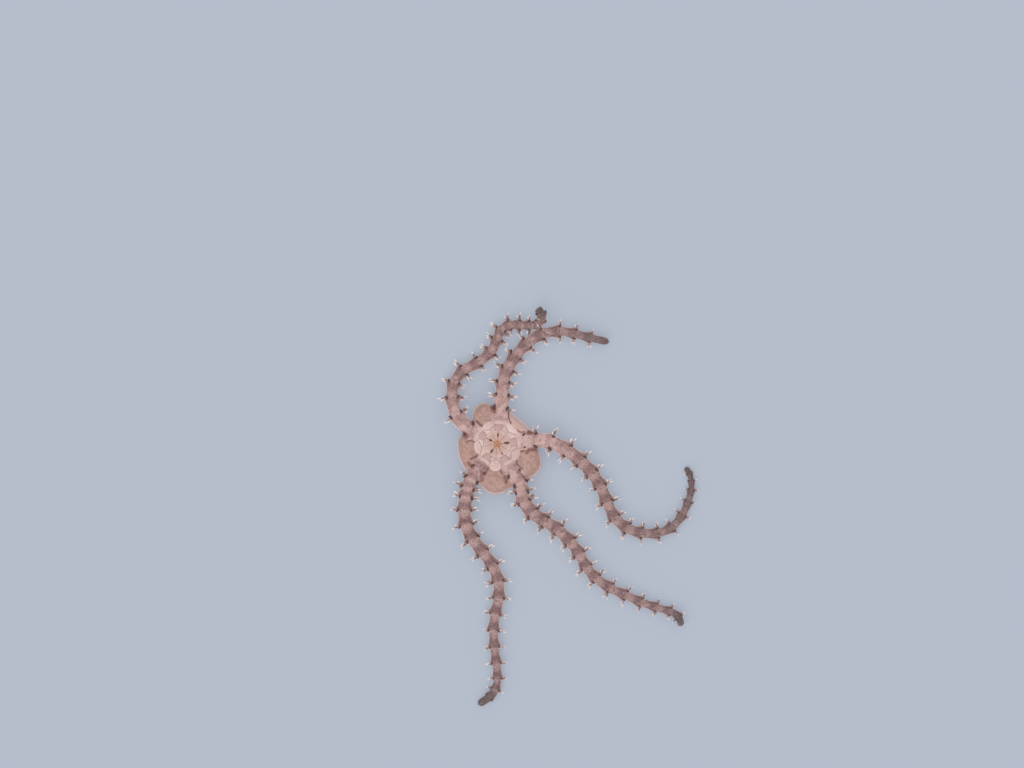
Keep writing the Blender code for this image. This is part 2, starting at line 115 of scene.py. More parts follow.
class Shader:
    """One material's node tree, built from Python expressions."""

    def __init__(self, name: str, roughness: float, coat: float = 0.0, sheen: float = 0.0) -> None:
        """Start a material with the finish that is the same all over it.

        Args:
            name: Its name.
            roughness: Its roughness.
            coat: How much clear coat it has.
            sheen: How much sheen it has.
        """
        self.material = bpy.data.materials.new(name)
        self.material.use_nodes = True
        self.tree = self.material.node_tree
        self.surface = self.tree.nodes["Principled BSDF"]
        self.set({"Roughness": roughness, "Coat Weight": coat, "Coat Roughness": 0.25, "Sheen Weight": sheen})

    def set(self, values: dict) -> None:
        """Plug wires or values into the surface, by the sockets' names."""
        for name, value in values.items():
            self.plug(self.surface.inputs[name], value)

    def plug(self, socket: bpy.types.NodeSocket, value: object) -> None:
        """Link a wire to a socket, or set the socket's own value.

        Args:
            socket: The socket.
            value: The wire, number or colour.
        """
        if isinstance(value, Wire):
            self.tree.links.new(value.socket, socket)
        elif isinstance(value, tuple) and len(value) == 3 and socket.type == "RGBA":
            socket.default_value = (*value, 1.0)
        else:
            socket.default_value = value

    def node(self, kind: str, settings: dict, sockets: dict, output: int | str = 0) -> Wire:
        """Add any node.

        Args:
            kind: The node's type.
            settings: Its own settings, which are set first.
            sockets: Values or wires for its inputs, by name or number.
            output: The output to use.

        Returns:
            The wire of that output.
        """
        made = self.tree.nodes.new(kind)
        for name, value in settings.items():
            setattr(made, name, value)
        for name, value in sockets.items():
            self.plug(made.inputs[name], value)
        return Wire(self, made.outputs[output])

    def place(self) -> Wire:
        """Object coordinates in millimetres."""
        where = self.node("ShaderNodeTexCoord", {}, {}, "Object")
        return self.node("ShaderNodeVectorMath", {"operation": "SCALE"}, {0: where, "Scale": 1 / METRES})

    def flank(self) -> Wire:
        """Share of the surface that faces sideways, which the finishes paint pale as a rim highlight.

        Returns:
            The share.
        """
        facing = self.node("ShaderNodeNewGeometry", {}, {}, "Normal")
        steep = self.node("ShaderNodeSeparateXYZ", {}, {0: facing}, "Z")
        return self.node("ShaderNodeMath", {"operation": "ABSOLUTE"}, {0: steep}).ramp(0.62, 0.34)

    def noise(self, scale: float, detail: float = 3.0, roughness: float = 0.55) -> Wire:
        """Soft noise, with its scale in shapes per millimetre."""
        return self.node("ShaderNodeTexNoise", {},
                         {"Vector": self.place(), "Scale": scale, "Detail": detail, "Roughness": roughness})

    def cells(self, scale: float) -> Wire:
        """Distance inside a net of cells, with its scale in cells per millimetre."""
        return self.node("ShaderNodeTexVoronoi", {}, {"Vector": self.place(), "Scale": scale})

    def mark(self, name: str) -> list[Wire]:
        """Red, green and blue of one of the piece's colour attributes.

        Args:
            name: The attribute's name.

        Returns:
            The three shares.
        """
        colour = self.node("ShaderNodeAttribute", {"attribute_name": name}, {}, "Color")
        parts = self.node("ShaderNodeSeparateColor", {}, {0: colour})
        return [Wire(self, out) for out in parts.socket.node.outputs[:3]]

    def layers(self, colour: "Wire | Colour", *coats: tuple["Wire | float", "Wire | Colour"]) -> Wire:
        """Lay coats of colour over one another.

        Args:
            colour: The lowest colour.
            coats: How much each coat covers, and its colour.

        Returns:
            The colour that shows.
        """
        for share, over in coats:
            colour = self.node("ShaderNodeMix", {"data_type": "RGBA"}, {0: share, 6: colour, 7: over}, 2)
        return colour

    def finish(self, colour: Wire, roughness: Wire, height: Wire, depth: float) -> bpy.types.Material:
        """Plug in what varies over the surface.

        Args:
            colour: Its colour.
            roughness: Its roughness.
            height: Its relief, in shares of the depth.
            depth: The relief's depth in millimetres.

        Returns:
            The material.
        """
        relief = {"Strength": 1.0, "Distance": depth * METRES, "Height": height}
        bump = self.node("ShaderNodeBump", {}, relief)
        self.set({"Base Color": colour, "Roughness": roughness, "Normal": bump})
        return self.material


# Finishes


@dataclass(frozen=True)
class ArmTone:
    """Colours that the arms' skin and plates share."""

    base: Colour = (0.318, 0.172, 0.166)
    pale: Colour = (0.530, 0.338, 0.320)
    plate: Colour = (0.196, 0.094, 0.097)
    speck: Colour = (0.070, 0.032, 0.033)
    # Pale colour of random light specks, and of the painted rim highlight on flanks and outlines
    rim: Colour = (0.820, 0.680, 0.630)
    tip: Colour = (0.100, 0.058, 0.062)
    fresh_joint: Colour = (0.630, 0.410, 0.384)
    fresh_plate: Colour = (0.455, 0.262, 0.246)

    def worn(self, shader: Shader, colour: Wire, pink: Wire, dark_from_age_and_shade: Wire, paleness: float,
             specks: Wire) -> Wire:
        """Turn a colour pink and blotchy near the disc and dark towards the tip, from age and, on arm C,
        painted shade, and mottle it.

        Args:
            shader: The shader to work in.
            colour: The colour half way along the arm.
            pink: How near the disc is.
            dark_from_age_and_shade: How near the tip is.
            paleness: How much of the pink is pale.
            specks: How strong the mottling is.

        Returns:
            The arm's colour.
        """
        patchy = shader.noise(4.2, 3.0, 0.62).ramp(0.62 - paleness * 0.3, 0.74 - paleness * 0.3)
        fresh = shader.layers(self.fresh_plate, (patchy, self.fresh_joint))
        blotch = shader.noise(6.5, 3.0, 0.62).ramp(0.52, 0.66)
        fine = shader.noise(20.0, 2.0, 0.60)
        dark, light = fine.ramp(0.53, 0.68), fine.ramp(0.44, 0.28)
        return shader.layers(colour, (pink * 0.92, fresh), (dark_from_age_and_shade, self.tip),
                             (blotch * specks * 0.60, self.speck), (dark * specks * 0.55, self.speck),
                             (light * specks * 0.30, self.rim))


@dataclass(frozen=True)
class DiscTone:
    """Colours of the disc's slits and red patches: painted shade inside the slits, and the skin's own red."""

    dark: Colour = (0.190, 0.070, 0.055)
    red: Colour = (0.232, 0.060, 0.043)


@dataclass(frozen=True)
class SkinFinish:
    """Moist mauve-brown skin over chalky plates, tan on the disc."""

    tone: ArmTone = ArmTone()
    marks: DiscTone = DiscTone()
    lobe: Colour = (0.440, 0.278, 0.235)
    lobe_pink: Colour = (0.560, 0.375, 0.335)
    lobe_cloud: Colour = (0.330, 0.190, 0.155)
    rosette: Colour = (0.650, 0.445, 0.410)
    centre: Colour = (0.620, 0.320, 0.200)
    grime: Colour = (0.200, 0.120, 0.100)

    def material(self) -> bpy.types.Material:
        """Build the material.

        Returns:
            The material.
        """
        shader = Shader("skin", 0.42, coat=0.12, sheen=0.45)
        plate, neck, rim = shader.mark("marks")
        lobe, dark_from_age_and_shade, pink = shader.mark("zones")
        dark, red, rosette = shader.mark("spots")
        cloud = shader.noise(5.0)
        grain = shader.noise(42.0, 2.0)
        radius = shader.node("ShaderNodeVectorMath", {"operation": "LENGTH"}, {0: shader.place()}, "Value")
        arm = shader.layers(self.tone.base, (plate * 0.75, self.tone.plate), (neck * 0.58, self.tone.pale))
        arm = self.tone.worn(shader, arm, pink, dark_from_age_and_shade, 0.75, 1.0 - pink * 0.45)
        cloudy = cloud.ramp(0.40, 0.70) * 0.30
        tan = shader.layers(self.lobe, (pink, self.lobe_pink), (cloudy, self.lobe_cloud))
        mouth = shader.layers(self.rosette, (radius.ramp(0.86, 0.72), self.centre))
        # Pale on sideways faces and along the rim mask: a painted rim highlight
        flank = shader.flank() * (1.0 - lobe * 0.5) * (0.85 - dark_from_age_and_shade * 0.55)
        # The dark layer paints shade inside the slits; the red layer is the skin's own colour
        skin = shader.layers(
            arm, (lobe, tan), (rosette, mouth), (flank, self.tone.rim), (rim * 0.80, self.tone.rim),
            (grain.ramp(0.50, 0.75) * 0.20, self.grime), (red, self.marks.red), (dark, self.marks.dark))
        return shader.finish(skin, 0.36 + cloud * 0.18, grain * 0.6 + shader.cells(26.0) * 0.5, 0.006)


@dataclass(frozen=True)
class ArmPlateFinish:
    """Chalky plates of the arms: pale where they start, darker at the outer edge."""

    name: str
    depth: float
    tone: ArmTone = ArmTone()

    def material(self) -> bpy.types.Material:
        """Build the material.

        Returns:
            The material.
        """
        shader = Shader(self.name, 0.40, coat=0.15, sheen=0.40)
        along, tint, rise = shader.mark("grade")
        dark_from_age_and_shade, pink, _ = shader.mark("zones")
        dark = along.ramp(0.10, 0.55) * along.ramp(1.05, 0.86)
        grain = shader.noise(46.0, 2.0)
        colour = shader.layers(self.tone.pale, (dark * (self.depth - 0.14) + 0.14, self.tone.plate),
                               (tint.ramp(0.2, 1.0) * 0.35, self.tone.base))
        colour = self.tone.worn(shader, colour, pink, dark_from_age_and_shade, 0.42, 0.85 - pink * 0.35)
        # Darker on each plate's low sides as painted shade where the plates meet, and pale on sideways faces
        # as a painted rim highlight
        colour = shader.layers(colour, (rise.ramp(0.75, 0.2) * 0.40, self.tone.speck),
                               (shader.flank() * (0.85 - dark_from_age_and_shade * 0.55), self.tone.rim))
        return shader.finish(colour, 0.32 + grain * 0.2, grain * 0.5 + shader.cells(34.0) * 0.6, 0.005)


@dataclass(frozen=True)
class SpineFinish:
    """Glassy spines, brown at the root and nearly white at the tip, with a painted rim highlight along their
    sides.
    """

    root: Colour = (0.230, 0.128, 0.122)
    middle: Colour = (0.480, 0.330, 0.305)
    glass_and_rim_light: Colour = (0.860, 0.760, 0.720)

    def material(self) -> bpy.types.Material:
        """Build the material.

        Returns:
            The material.
        """
        shader = Shader("spine", 0.28, coat=0.35, sheen=0.8)
        along, tint, _ = shader.mark("grade")
        grain = shader.noise(30.0)
        reach = along + (grain - 0.5) * 0.20 + (tint - 0.5) * 0.25
        # The tip's glassy white is the spine's own colour; the same white on sideways faces is a painted rim
        # highlight
        colour = shader.layers(self.root, (reach.ramp(0.30, 0.70), self.middle),
                               (reach.ramp(0.50, 0.85), self.glass_and_rim_light), (shader.flank() * 0.90, self.glass_and_rim_light))
        return shader.finish(colour, 0.22 + grain * 0.16, grain, 0.004)


@dataclass(frozen=True)
class FootFinish:
    """Dark brown tube feet with a warty surface."""

    deep: Colour = (0.076, 0.026, 0.026)
    light: Colour = (0.195, 0.080, 0.075)

    def material(self) -> bpy.types.Material:
        """Build the material.

        Returns:
            The material.
        """
        shader = Shader("tube_foot", 0.5)
        _, tint, _ = shader.mark("grade")
        warts = shader.cells(30.0)
        colour = shader.layers(self.deep, (warts.ramp(0.2, 0.8) * tint, self.light))
        return shader.finish(colour, 0.28 + warts * 0.3, 1.0 - warts, 0.008)


@dataclass(frozen=True)
class MouthFinish:
    """Plates round the mouth, pale pink outside and orange-brown in the middle."""

    name: str = "mouth_plate"
    outer: Colour = (0.720, 0.520, 0.485)
    inner: Colour = (0.545, 0.345, 0.285)
    centre: Colour = (0.620, 0.310, 0.185)
    # Colour of the painted shade on each plate's low sides, in the seams between plates
    seam: Colour = (0.540, 0.350, 0.315)
    blotch: Colour = (0.500, 0.320, 0.300)
    pit: Colour = (0.400, 0.240, 0.210)
    chalk: Colour = (0.860, 0.700, 0.660)

    def material(self) -> bpy.types.Material:
        """Build the material.

        Returns:
            The material.
        """
        shader = Shader(self.name, 0.42, coat=0.12, sheen=0.2)
        rise, tint, radius = shader.mark("grade")
        blotch = shader.noise(8.0)
        grain = shader.noise(40.0, 2.0)
        stained = (tint * 0.4 + blotch * 0.8).ramp(0.40, 0.80) * 0.60
        # The seam layer darkens each plate's low sides as painted shade in the seams
        colour = shader.layers(
            self.inner, (radius.ramp(0.28, 0.56), self.outer), (stained, self.blotch),
            (radius.ramp(0.22, 0.08), self.centre), (rise.ramp(0.70, 0.10) * 0.25, self.seam),
            (grain.ramp(0.48, 0.70) * 0.38, self.pit), (grain.ramp(0.46, 0.30) * 0.30, self.chalk))
        return shader.finish(colour, 0.36 + blotch * 0.15, grain * 0.6 + blotch * 0.4, 0.006)


@dataclass(frozen=True)
class ScaleFinish:
    """Small plates of the disc's skin, each a little different."""

    name: str
    low: Colour
    high: Colour
    # Colour of the painted shade on each scale's low sides, where the scales overlap
    edge: Colour
    pink: Colour
    marks: DiscTone = DiscTone()
    grime: Colour = (0.240, 0.140, 0.120)
    # Colour of the painted rim highlight along the disc's outline
    rim: Colour = (0.740, 0.590, 0.530)

    def material(self) -> bpy.types.Material:
        """Build the material.

        Returns:
            The material.
        """
        shader = Shader(self.name, 0.45, coat=0.10, sheen=0.3)
        rise, tint, pink = shader.mark("grade")
        dark, red, rim = shader.mark("spots")
        cloud = shader.noise(5.0)
        grain = shader.noise(45.0, 2.0)
        # The rim layer is a painted rim highlight and the dark layer painted shade inside the slits; red is
        # the skin's own colour
        colour = shader.layers(
            self.low, ((tint * 0.7 + cloud * 0.8 - 0.2).ramp(0.2, 0.9), self.high), (pink * 0.85, self.pink),
            ((1.0 - rise).ramp(0.30, 1.0) * 0.5, self.edge), (grain.ramp(0.50, 0.75) * 0.22, self.grime),
            (rim * 0.8, self.rim), (red, self.marks.red), (dark, self.marks.dark))
        return shader.finish(colour, 0.36 + cloud * 0.18, grain, 0.005)


@dataclass(frozen=True)
class FloorFinish:
    """A plain pale ground, lit a little from below so that shadows stay faint."""

    pale: Colour = (0.440, 0.485, 0.575)
    glow: float = 0.55

    def material(self) -> bpy.types.Material:
        """Build the material.

        Returns:
            The material.
        """
        shader = Shader("ground", 0.7)
        lit = tuple(part * (1 - self.glow) for part in self.pale)
        deeper = tuple(part * 0.97 for part in lit)
        colour = shader.layers(lit, (shader.noise(3.0, 2.0), deeper))
        shader.set({"Base Color": colour, "Emission Color": self.pale, "Emission Strength": self.glow})
        return shader.material


# Bench


def clear_selection() -> None:
    """Leave object mode with nothing selected."""
    if bpy.context.object and bpy.context.object.mode != "OBJECT":
        bpy.ops.object.mode_set(mode="OBJECT")
    bpy.ops.object.select_all(action="DESELECT")


def start(name: str) -> bpy.types.Object:
    """Name the primitive that was just added and open it for editing.

    Args:
        name: The piece's name.

    Returns:
        The object, in edit mode with all of it selected.
    """
    made = bpy.context.object
    made.name = name
    bpy.ops.object.transform_apply(location=True, rotation=True, scale=True)
    bpy.ops.object.mode_set(mode="EDIT")
    bpy.ops.mesh.select_all(action="SELECT")
    return made


def stop(made: bpy.types.Object) -> bpy.types.Object:
    """Make all faces point outwards and leave edit mode.

    Args:
        made: The open piece.

    Returns:
        The same piece.
    """
    bpy.ops.mesh.select_all(action="SELECT")
    bpy.ops.mesh.normals_make_consistent(inside=False)
    bpy.ops.object.mode_set(mode="OBJECT")
    return made


def choose(*pieces: bpy.types.Object) -> None:
    """Select these pieces alone, the first of them active."""
    clear_selection()
    for piece in pieces:
        piece.select_set(True)
    bpy.context.view_layer.objects.active = pieces[0]


def turn_out(made: bpy.types.Object) -> bpy.types.Object:
    """Make the faces of a finished mesh point outwards.

    Args:
        made: The piece.

    Returns:
        The same piece.
    """
    choose(made)
    bpy.ops.object.mode_set(mode="EDIT")
    return stop(made)


def join(name: str, pieces: list[bpy.types.Object]) -> bpy.types.Object:
    """Join pieces into one and name it.

    Args:
        name: Its name.
        pieces: The pieces.

    Returns:
        The joined piece.
    """
    choose(*pieces)
    bpy.ops.object.join()
    pieces[0].name = name
    return pieces[0]


def cut_across(places: tuple[float, ...]) -> None:
    """Cut the open piece across its length at each place.

    Args:
        places: The places, along Y.
    """
    for place in places:
        bpy.ops.mesh.select_all(action="SELECT")
        bpy.ops.mesh.bisect(plane_co=(0, place, 0), plane_no=(0, 1, 0))


def remove(made: bpy.types.Object) -> None:
    """Delete an object with its mesh.

    Args:
        made: The object.
    """
    mesh = made.data
    bpy.data.objects.remove(made)
    bpy.data.meshes.remove(mesh)


def points_of(made: bpy.types.Object) -> np.ndarray:
    """The piece's points as rows of x, y and z.

    Args:
        made: The piece.

    Returns:
        One row for each point.
    """
    values = np.zeros(len(made.data.vertices) * 3)
    made.data.vertices.foreach_get("co", values)
    return values.reshape(-1, 3)


def move(made: bpy.types.Object, points: np.ndarray) -> None:
    """Move the piece's points."""
    made.data.vertices.foreach_set("co", points.ravel())
    made.data.update()


def unit_box(points: np.ndarray) -> np.ndarray:
    """The points as shares of the box round them."""
    low, high = points.min(axis=0), points.max(axis=0)
    return (points - low) / np.maximum(high - low, 1e-9)


def grade(made: bpy.types.Object, name: str, values: np.ndarray) -> None:
    """Keep a row of three shares for each point as a colour attribute.

    Args:
        made: The piece.
        name: The attribute's name.
        values: The rows.
    """
    attribute = made.data.attributes.new(name, "FLOAT_COLOR", "POINT")
    rows = np.ones((len(values), 4), np.float32)
    rows[:, :3] = np.clip(values, 0.0, 1.0)
    attribute.data.foreach_set("color", rows.ravel())


def unwrap_points(made: bpy.types.Object, spots: np.ndarray) -> None:
    """Give the piece its UV map, from one place for each point.

    Args:
        made: The piece.
        spots: One place on the unwrap for each point.
    """
    corners = np.zeros(len(made.data.loops), np.int32)
    made.data.loops.foreach_get("vertex_index", corners)
    for layer in list(made.data.uv_layers):
        made.data.uv_layers.remove(layer)
    made.data.uv_layers.new(name="OFBake").data.foreach_set("uv", spots[corners].ravel())


def set_out(made: bpy.types.Object, material: bpy.types.Material, nodes: tuple[str, ...] = (),
            angle: float = 45.0) -> None:
    """Scale a piece to metres, dress it and set it on the frame.

    Args:
        made: The piece, in millimetres.
        material: Its material.
        nodes: The solids that it stands for.
        angle: Edges sharper than this many degrees stay crisp.
    """
    choose(made)
    made.scale = (METRES, METRES, METRES)
    bpy.ops.object.transform_apply(location=True, rotation=True, scale=True)
    bpy.ops.object.shade_smooth_by_angle(angle=math.radians(angle))
    made.data.materials.clear()
    made.data.materials.append(material)
    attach(made, "root")
    if nodes:
        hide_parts(*nodes)
    log.info("%s: %d faces", made.name, len(made.data.polygons))


def ease(value: "float | np.ndarray", low: float, high: float) -> "float | np.ndarray":
    """Rise smoothly from 0 at the low value to 1 at the high one.

    Args:
        value: The value or values to read.
        low: Where the rise starts.
        high: Where it ends, which may be below the start.

    Returns:
        The share or shares.
    """
    share = np.clip((value - low) / (high - low), 0.0, 1.0)
    eased = share * share * (3.0 - 2.0 * share)
    return eased if isinstance(value, np.ndarray) else float(eased)


def squared(value: "float | np.ndarray") -> "float | np.ndarray":
    """A round section's x or z, pushed out towards a square one."""
    return np.sign(value) * np.abs(value) ** SECTION_POWER


def polar(radius: float, degrees: float, height: float = 0.0) -> Vector:
    """A point from its distance and direction in plan, and its height."""
    turn = math.radians(degrees)
    return Vector((radius * math.cos(turn), radius * math.sin(turn), height))


def bearing(spot: "Vector | Pair | np.ndarray") -> float:
    """Direction of a point from the mouth, in degrees."""
    return math.degrees(math.atan2(spot[1], spot[0]))


def apart(first: float, second: float) -> float:
    """Degrees between two directions."""
    return abs((first - second + 180) % 360 - 180)


def turns(count: int) -> list[float]:
    """Even steps of a full turn, in radians."""
    return [math.tau * step / count for step in range(count)]


def ring(centre: Vector, radius: float) -> list[Vector]:
    """Eight points round a centre."""
    return [centre + polar(radius, 45 * step) for step in range(8)]


def disc_patch(spot: Vector, side: Side) -> Pair:
    """Place on one of the disc's two round faces on the unwrap."""
    return (0.75 + spot.x * 0.12, side.value + spot.y * 0.12)


# Arms


@dataclass(frozen=True)
class Route:
    """The line of one arm, with its width, height and darkening at each place.

    Places count segments outwards from the disc's edge and go below zero on the disc.
    """

    name: str
    joints: tuple[Pair, ...]
    grown: float
    slim: float
    tip_lift: float
    dark_tip: float
    tip_swell: float
    bare: float
    fresh: float
    # How dark the arm grows towards its tip; arm C's larger value also paints the shade over its outer half
    age: float = 0.58
    flare_base: float = 0.590
    neck_base: float = 0.495
    height_share: float = 0.80
    pitch: float = 0.42
    port: float = -0.28
    lift_base: float = 0.28

    @property
    def end(self) -> int:
        """The last joint's number."""
        return len(self.joints) - 1

    @property
    def segments(self) -> range:
        """The numbers of all segments, those over the disc too."""
        return range(-math.ceil((Vector(self.joints[0]).length - 0.56) / self.pitch), self.end)

    @property
    def direction(self) -> float:
        """The direction in which the arm leaves the disc."""
        return bearing(self.joints[0])

    def joint(self, number: int) -> Vector:
        """One joint, carried on straight towards the mouth and past the tip.

        Args:
            number: Its number.

        Returns:
            Its point in plan.
        """
        here = Vector((*self.joints[max(min(number, self.end), 0)], 0.0))
        if number > self.end:
            return 2 * here - Vector((*self.joints[self.end - 1], 0.0))
        return here * (1 + min(number, 0) * self.pitch / here.length)

    def point(self, place: float) -> tuple[Vector, Vector]:
        """Point and direction of the line at a place.

        Args:
            place: The place.

        Returns:
            The point and the direction.
        """
        first = min(math.floor(place), self.end - 1)
        t = place - first
        before, a, b, after = (self.joint(first + step) for step in (-1, 0, 1, 2))
        lead, trail = (b - before) / 2, (after - a) / 2
        spot = (a * (2 * t**3 - 3 * t**2 + 1) + lead * (t**3 - 2 * t**2 + t)
                + b * (3 * t**2 - 2 * t**3) + trail * (t**3 - t**2))
        slope = (a * (6 * t**2 - 6 * t) + lead * (3 * t**2 - 4 * t + 1)
                 + b * (6 * t - 6 * t**2) + trail * (3 * t**2 - 2 * t))
        return spot, slope.normalized()

    def share(self, place: float) -> float:
        """How far along a whole arm a place lies."""
        return min(max(place / self.grown, 0.0), 1.0)

    def half(self, place: float, flared: float) -> float:
        """Half the arm's width, between its neck and its flare.

        Args:
            place: The place.
            flared: The share of the way from the neck to the flare.

        Returns:
            The half width.
        """
        grown = self.share(place)
        neck = self.neck_base * (1 - 0.62 * grown**1.15)
        flare = self.flare_base * (1 - 0.58 * grown**2.5)
        slimmed = 1 - self.slim * ease(place, 0.0, 3.0)
        from_mouth = Vector(self.joints[0]).length + min(place, 0.0) * self.pitch
        buried = 0.30 + 0.70 * ease(from_mouth, 0.46, 0.74)
        swollen = 1 + self.tip_swell * ease(place, self.end - 3.0, self.end - 1.2)
        return (neck + (flare - neck) * flared) * slimmed * buried * swollen / 2

    def middle(self, place: float) -> float:
        """Height of the arm's axis.

        Args:
            place: The place.

        Returns:
            The height.
        """
        near_disc = self.lift_base * (1 - ease(place, self.port, self.port + 3.5))
        near_tip = self.tip_lift * ease(place, self.end - 4, self.end)
        on_disc = 0.11 * min(max(self.port - place, 0.0), 1.2)
        return near_disc + near_tip + on_disc + self.half(place, 1.0) * self.height_share

    def bell(self, place: float) -> float:
        """How far a segment is flared at a place: a narrow neck, a bell and a sharp lip.

        Args:
            place: The place.

        Returns:
            The share of the way from the neck to the flare.
        """
        marks = (0.0, 0.05, 0.10, 0.15, 0.22, 0.32, 0.45, 0.60, 0.75, 0.88, 0.95, 1.0)
        widths = (0.96, 0.78, 0.44, 0.18, 0.02, 0.0, 0.12, 0.36, 0.70, 0.94, 1.0, 0.97)
        return float(np.interp(place - math.floor(place), marks, widths))

    def frame_at(self, place: float) -> tuple[Vector, Vector, Vector]:
        """Centre of the section, direction along, and direction across.

        Args:
            place: The place.

        Returns:
            The three vectors.
        """
        spot, along = self.point(place)
        spot.z = self.middle(place)
        return spot, along, Vector((-along.y, along.x, 0.0))

    def tip_share(self, place: float) -> float:
        """How much of the width is left as the arm rounds off at its tip.

        Args:
            place: The place.

        Returns:
            The share.
        """
        left = max(self.end - place, 0.0) / 0.6
        rounded = math.sqrt(max(1 - (1 - left) ** 2, 0.0)) if left < 1.0 else 1.0
        return max(rounded, BLUNT_TIP)

    def dark_from_age_and_shade(self, place: float) -> float:
        """How dark the arm is at a place, from age and, on arm C, painted shade."""
        tip = self.dark_tip * ease(place, self.end - 2.4, self.end - 0.8)
        return min(self.age * self.share(place) ** 2.2 + tip, 1.0)

    def freshness(self, place: float) -> float:
        """How pale the arm is near the disc."""
        return ease(place, 3.5, 0.0) * self.fresh

    def patch(self, place: float, angle: float) -> Pair:
        """Place on the arm's strip of the unwrap."""
        return (0.02 + 0.09 * ROUTES.index(self) + 0.07 * (angle / math.tau + 0.5), (place + 4) / 24)


@dataclass
class Segment:
    """One joint of an arm, modelled once: X and Z are shares of its half sizes, Y runs along it."""

    around: int = 32
    stations: tuple[float, ...] = (0.025, 0.05, 0.075, 0.10, 0.125, 0.155, 0.19, 0.24, 0.31, 0.39,
                                   0.47, 0.55, 0.63, 0.71, 0.79, 0.86, 0.92, 0.96)

    def model(self) -> bpy.types.Object:
        """Model the segment as an open tube, squared off a little and with raised plates.

        Returns:
            The segment, from Y 0 to Y 1.
        """
        clear_selection()
        bpy.ops.mesh.primitive_cylinder_add(
            vertices=self.around, radius=1.0, depth=1.0, end_fill_type="NOTHING", location=(0, 0.5, 0),
            rotation=(math.pi / 2, 0, 0))
        made = start("segment")
        cut_across(self.stations)
        stop(made)
        points = points_of(made)
        relief = self.relief(np.abs(np.arctan2(points[:, 0], points[:, 2])), points[:, 1])
        points[:, [0, 2]] = squared(points[:, [0, 2]]) * (1.0 + relief)[:, None]
        move(made, points)
        return made

    @staticmethod
    def relief(side: np.ndarray, along: np.ndarray) -> np.ndarray:
        """Height of the plates over the plain tube.

        Args:
            side: Angle from the middle of the mouth side, from 0 to pi.
            along: Place along the segment.

        Returns:
            The height, in shares of the half width.
        """
        knob = ease(along, 0.74, 0.90) * ease(along, 0.995, 0.96)
        flank = ease(side, 0.85, 1.05) * ease(side, 2.5, 2.2) * (0.6 + 0.4 * np.cos(side * 10.5)) * knob
        pore = np.exp(-((side - 0.78) / 0.17) ** 2 - ((along - 0.955) / 0.06) ** 2)
        seam = np.exp(-((side - 0.62) / 0.10) ** 2) * ease(along, 0.25, 0.35) * ease(along, 0.98, 0.93)
        return 0.09 * flank - 0.13 * pore - 0.035 * seam

    def arm(self, route: Route, pattern: bpy.types.Object) -> bpy.types.Object:
        """Lay copies of the segment along a route and close the ends.

        Args:
            route: The arm's route.
            pattern: The modelled segment.

        Returns:
            The arm as a closed tube.
        """
        unit = points_of(pattern)
        copies = []
        for number in route.segments:
            copy = pattern.copy()
            copy.data = pattern.data.copy()
            bpy.context.scene.collection.objects.link(copy)
            move(copy, self.lay(unit, route, number))
            copies.append(copy)
        made = join(route.name, copies)
        bpy.ops.object.mode_set(mode="EDIT")
        bpy.ops.mesh.select_all(action="SELECT")
        bpy.ops.mesh.remove_doubles(threshold=0.0005)
        bpy.ops.mesh.select_all(action="DESELECT")
        bpy.ops.mesh.select_mode(type="EDGE")
        bpy.ops.mesh.select_non_manifold()
        bpy.ops.mesh.edge_face_add()
        return stop(made)

    @staticmethod
    def lay(unit: np.ndarray, route: Route, number: int) -> np.ndarray:
        """Bend one segment's points onto a route.

        Args:
            unit: The modelled segment's points.
            route: The arm's route.
            number: The segment's number.

        Returns:
            The points in place.
        """
        points = np.zeros_like(unit)
        for along in np.unique(np.round(unit[:, 1], 5)):
            rows = np.abs(unit[:, 1] - along) < 1e-4
            place = number + float(along)
            centre, _, across = route.frame_at(place)
            half = route.half(place, route.bell(place)) * route.tip_share(place)
            points[rows] = np.array(centre) + np.outer(unit[rows, 0], across) * half
            points[rows, 2] += half * route.height_share * unit[rows, 2]
        points[:, 2] = np.maximum(points[:, 2], CLEARANCE)
        return points


# Disc


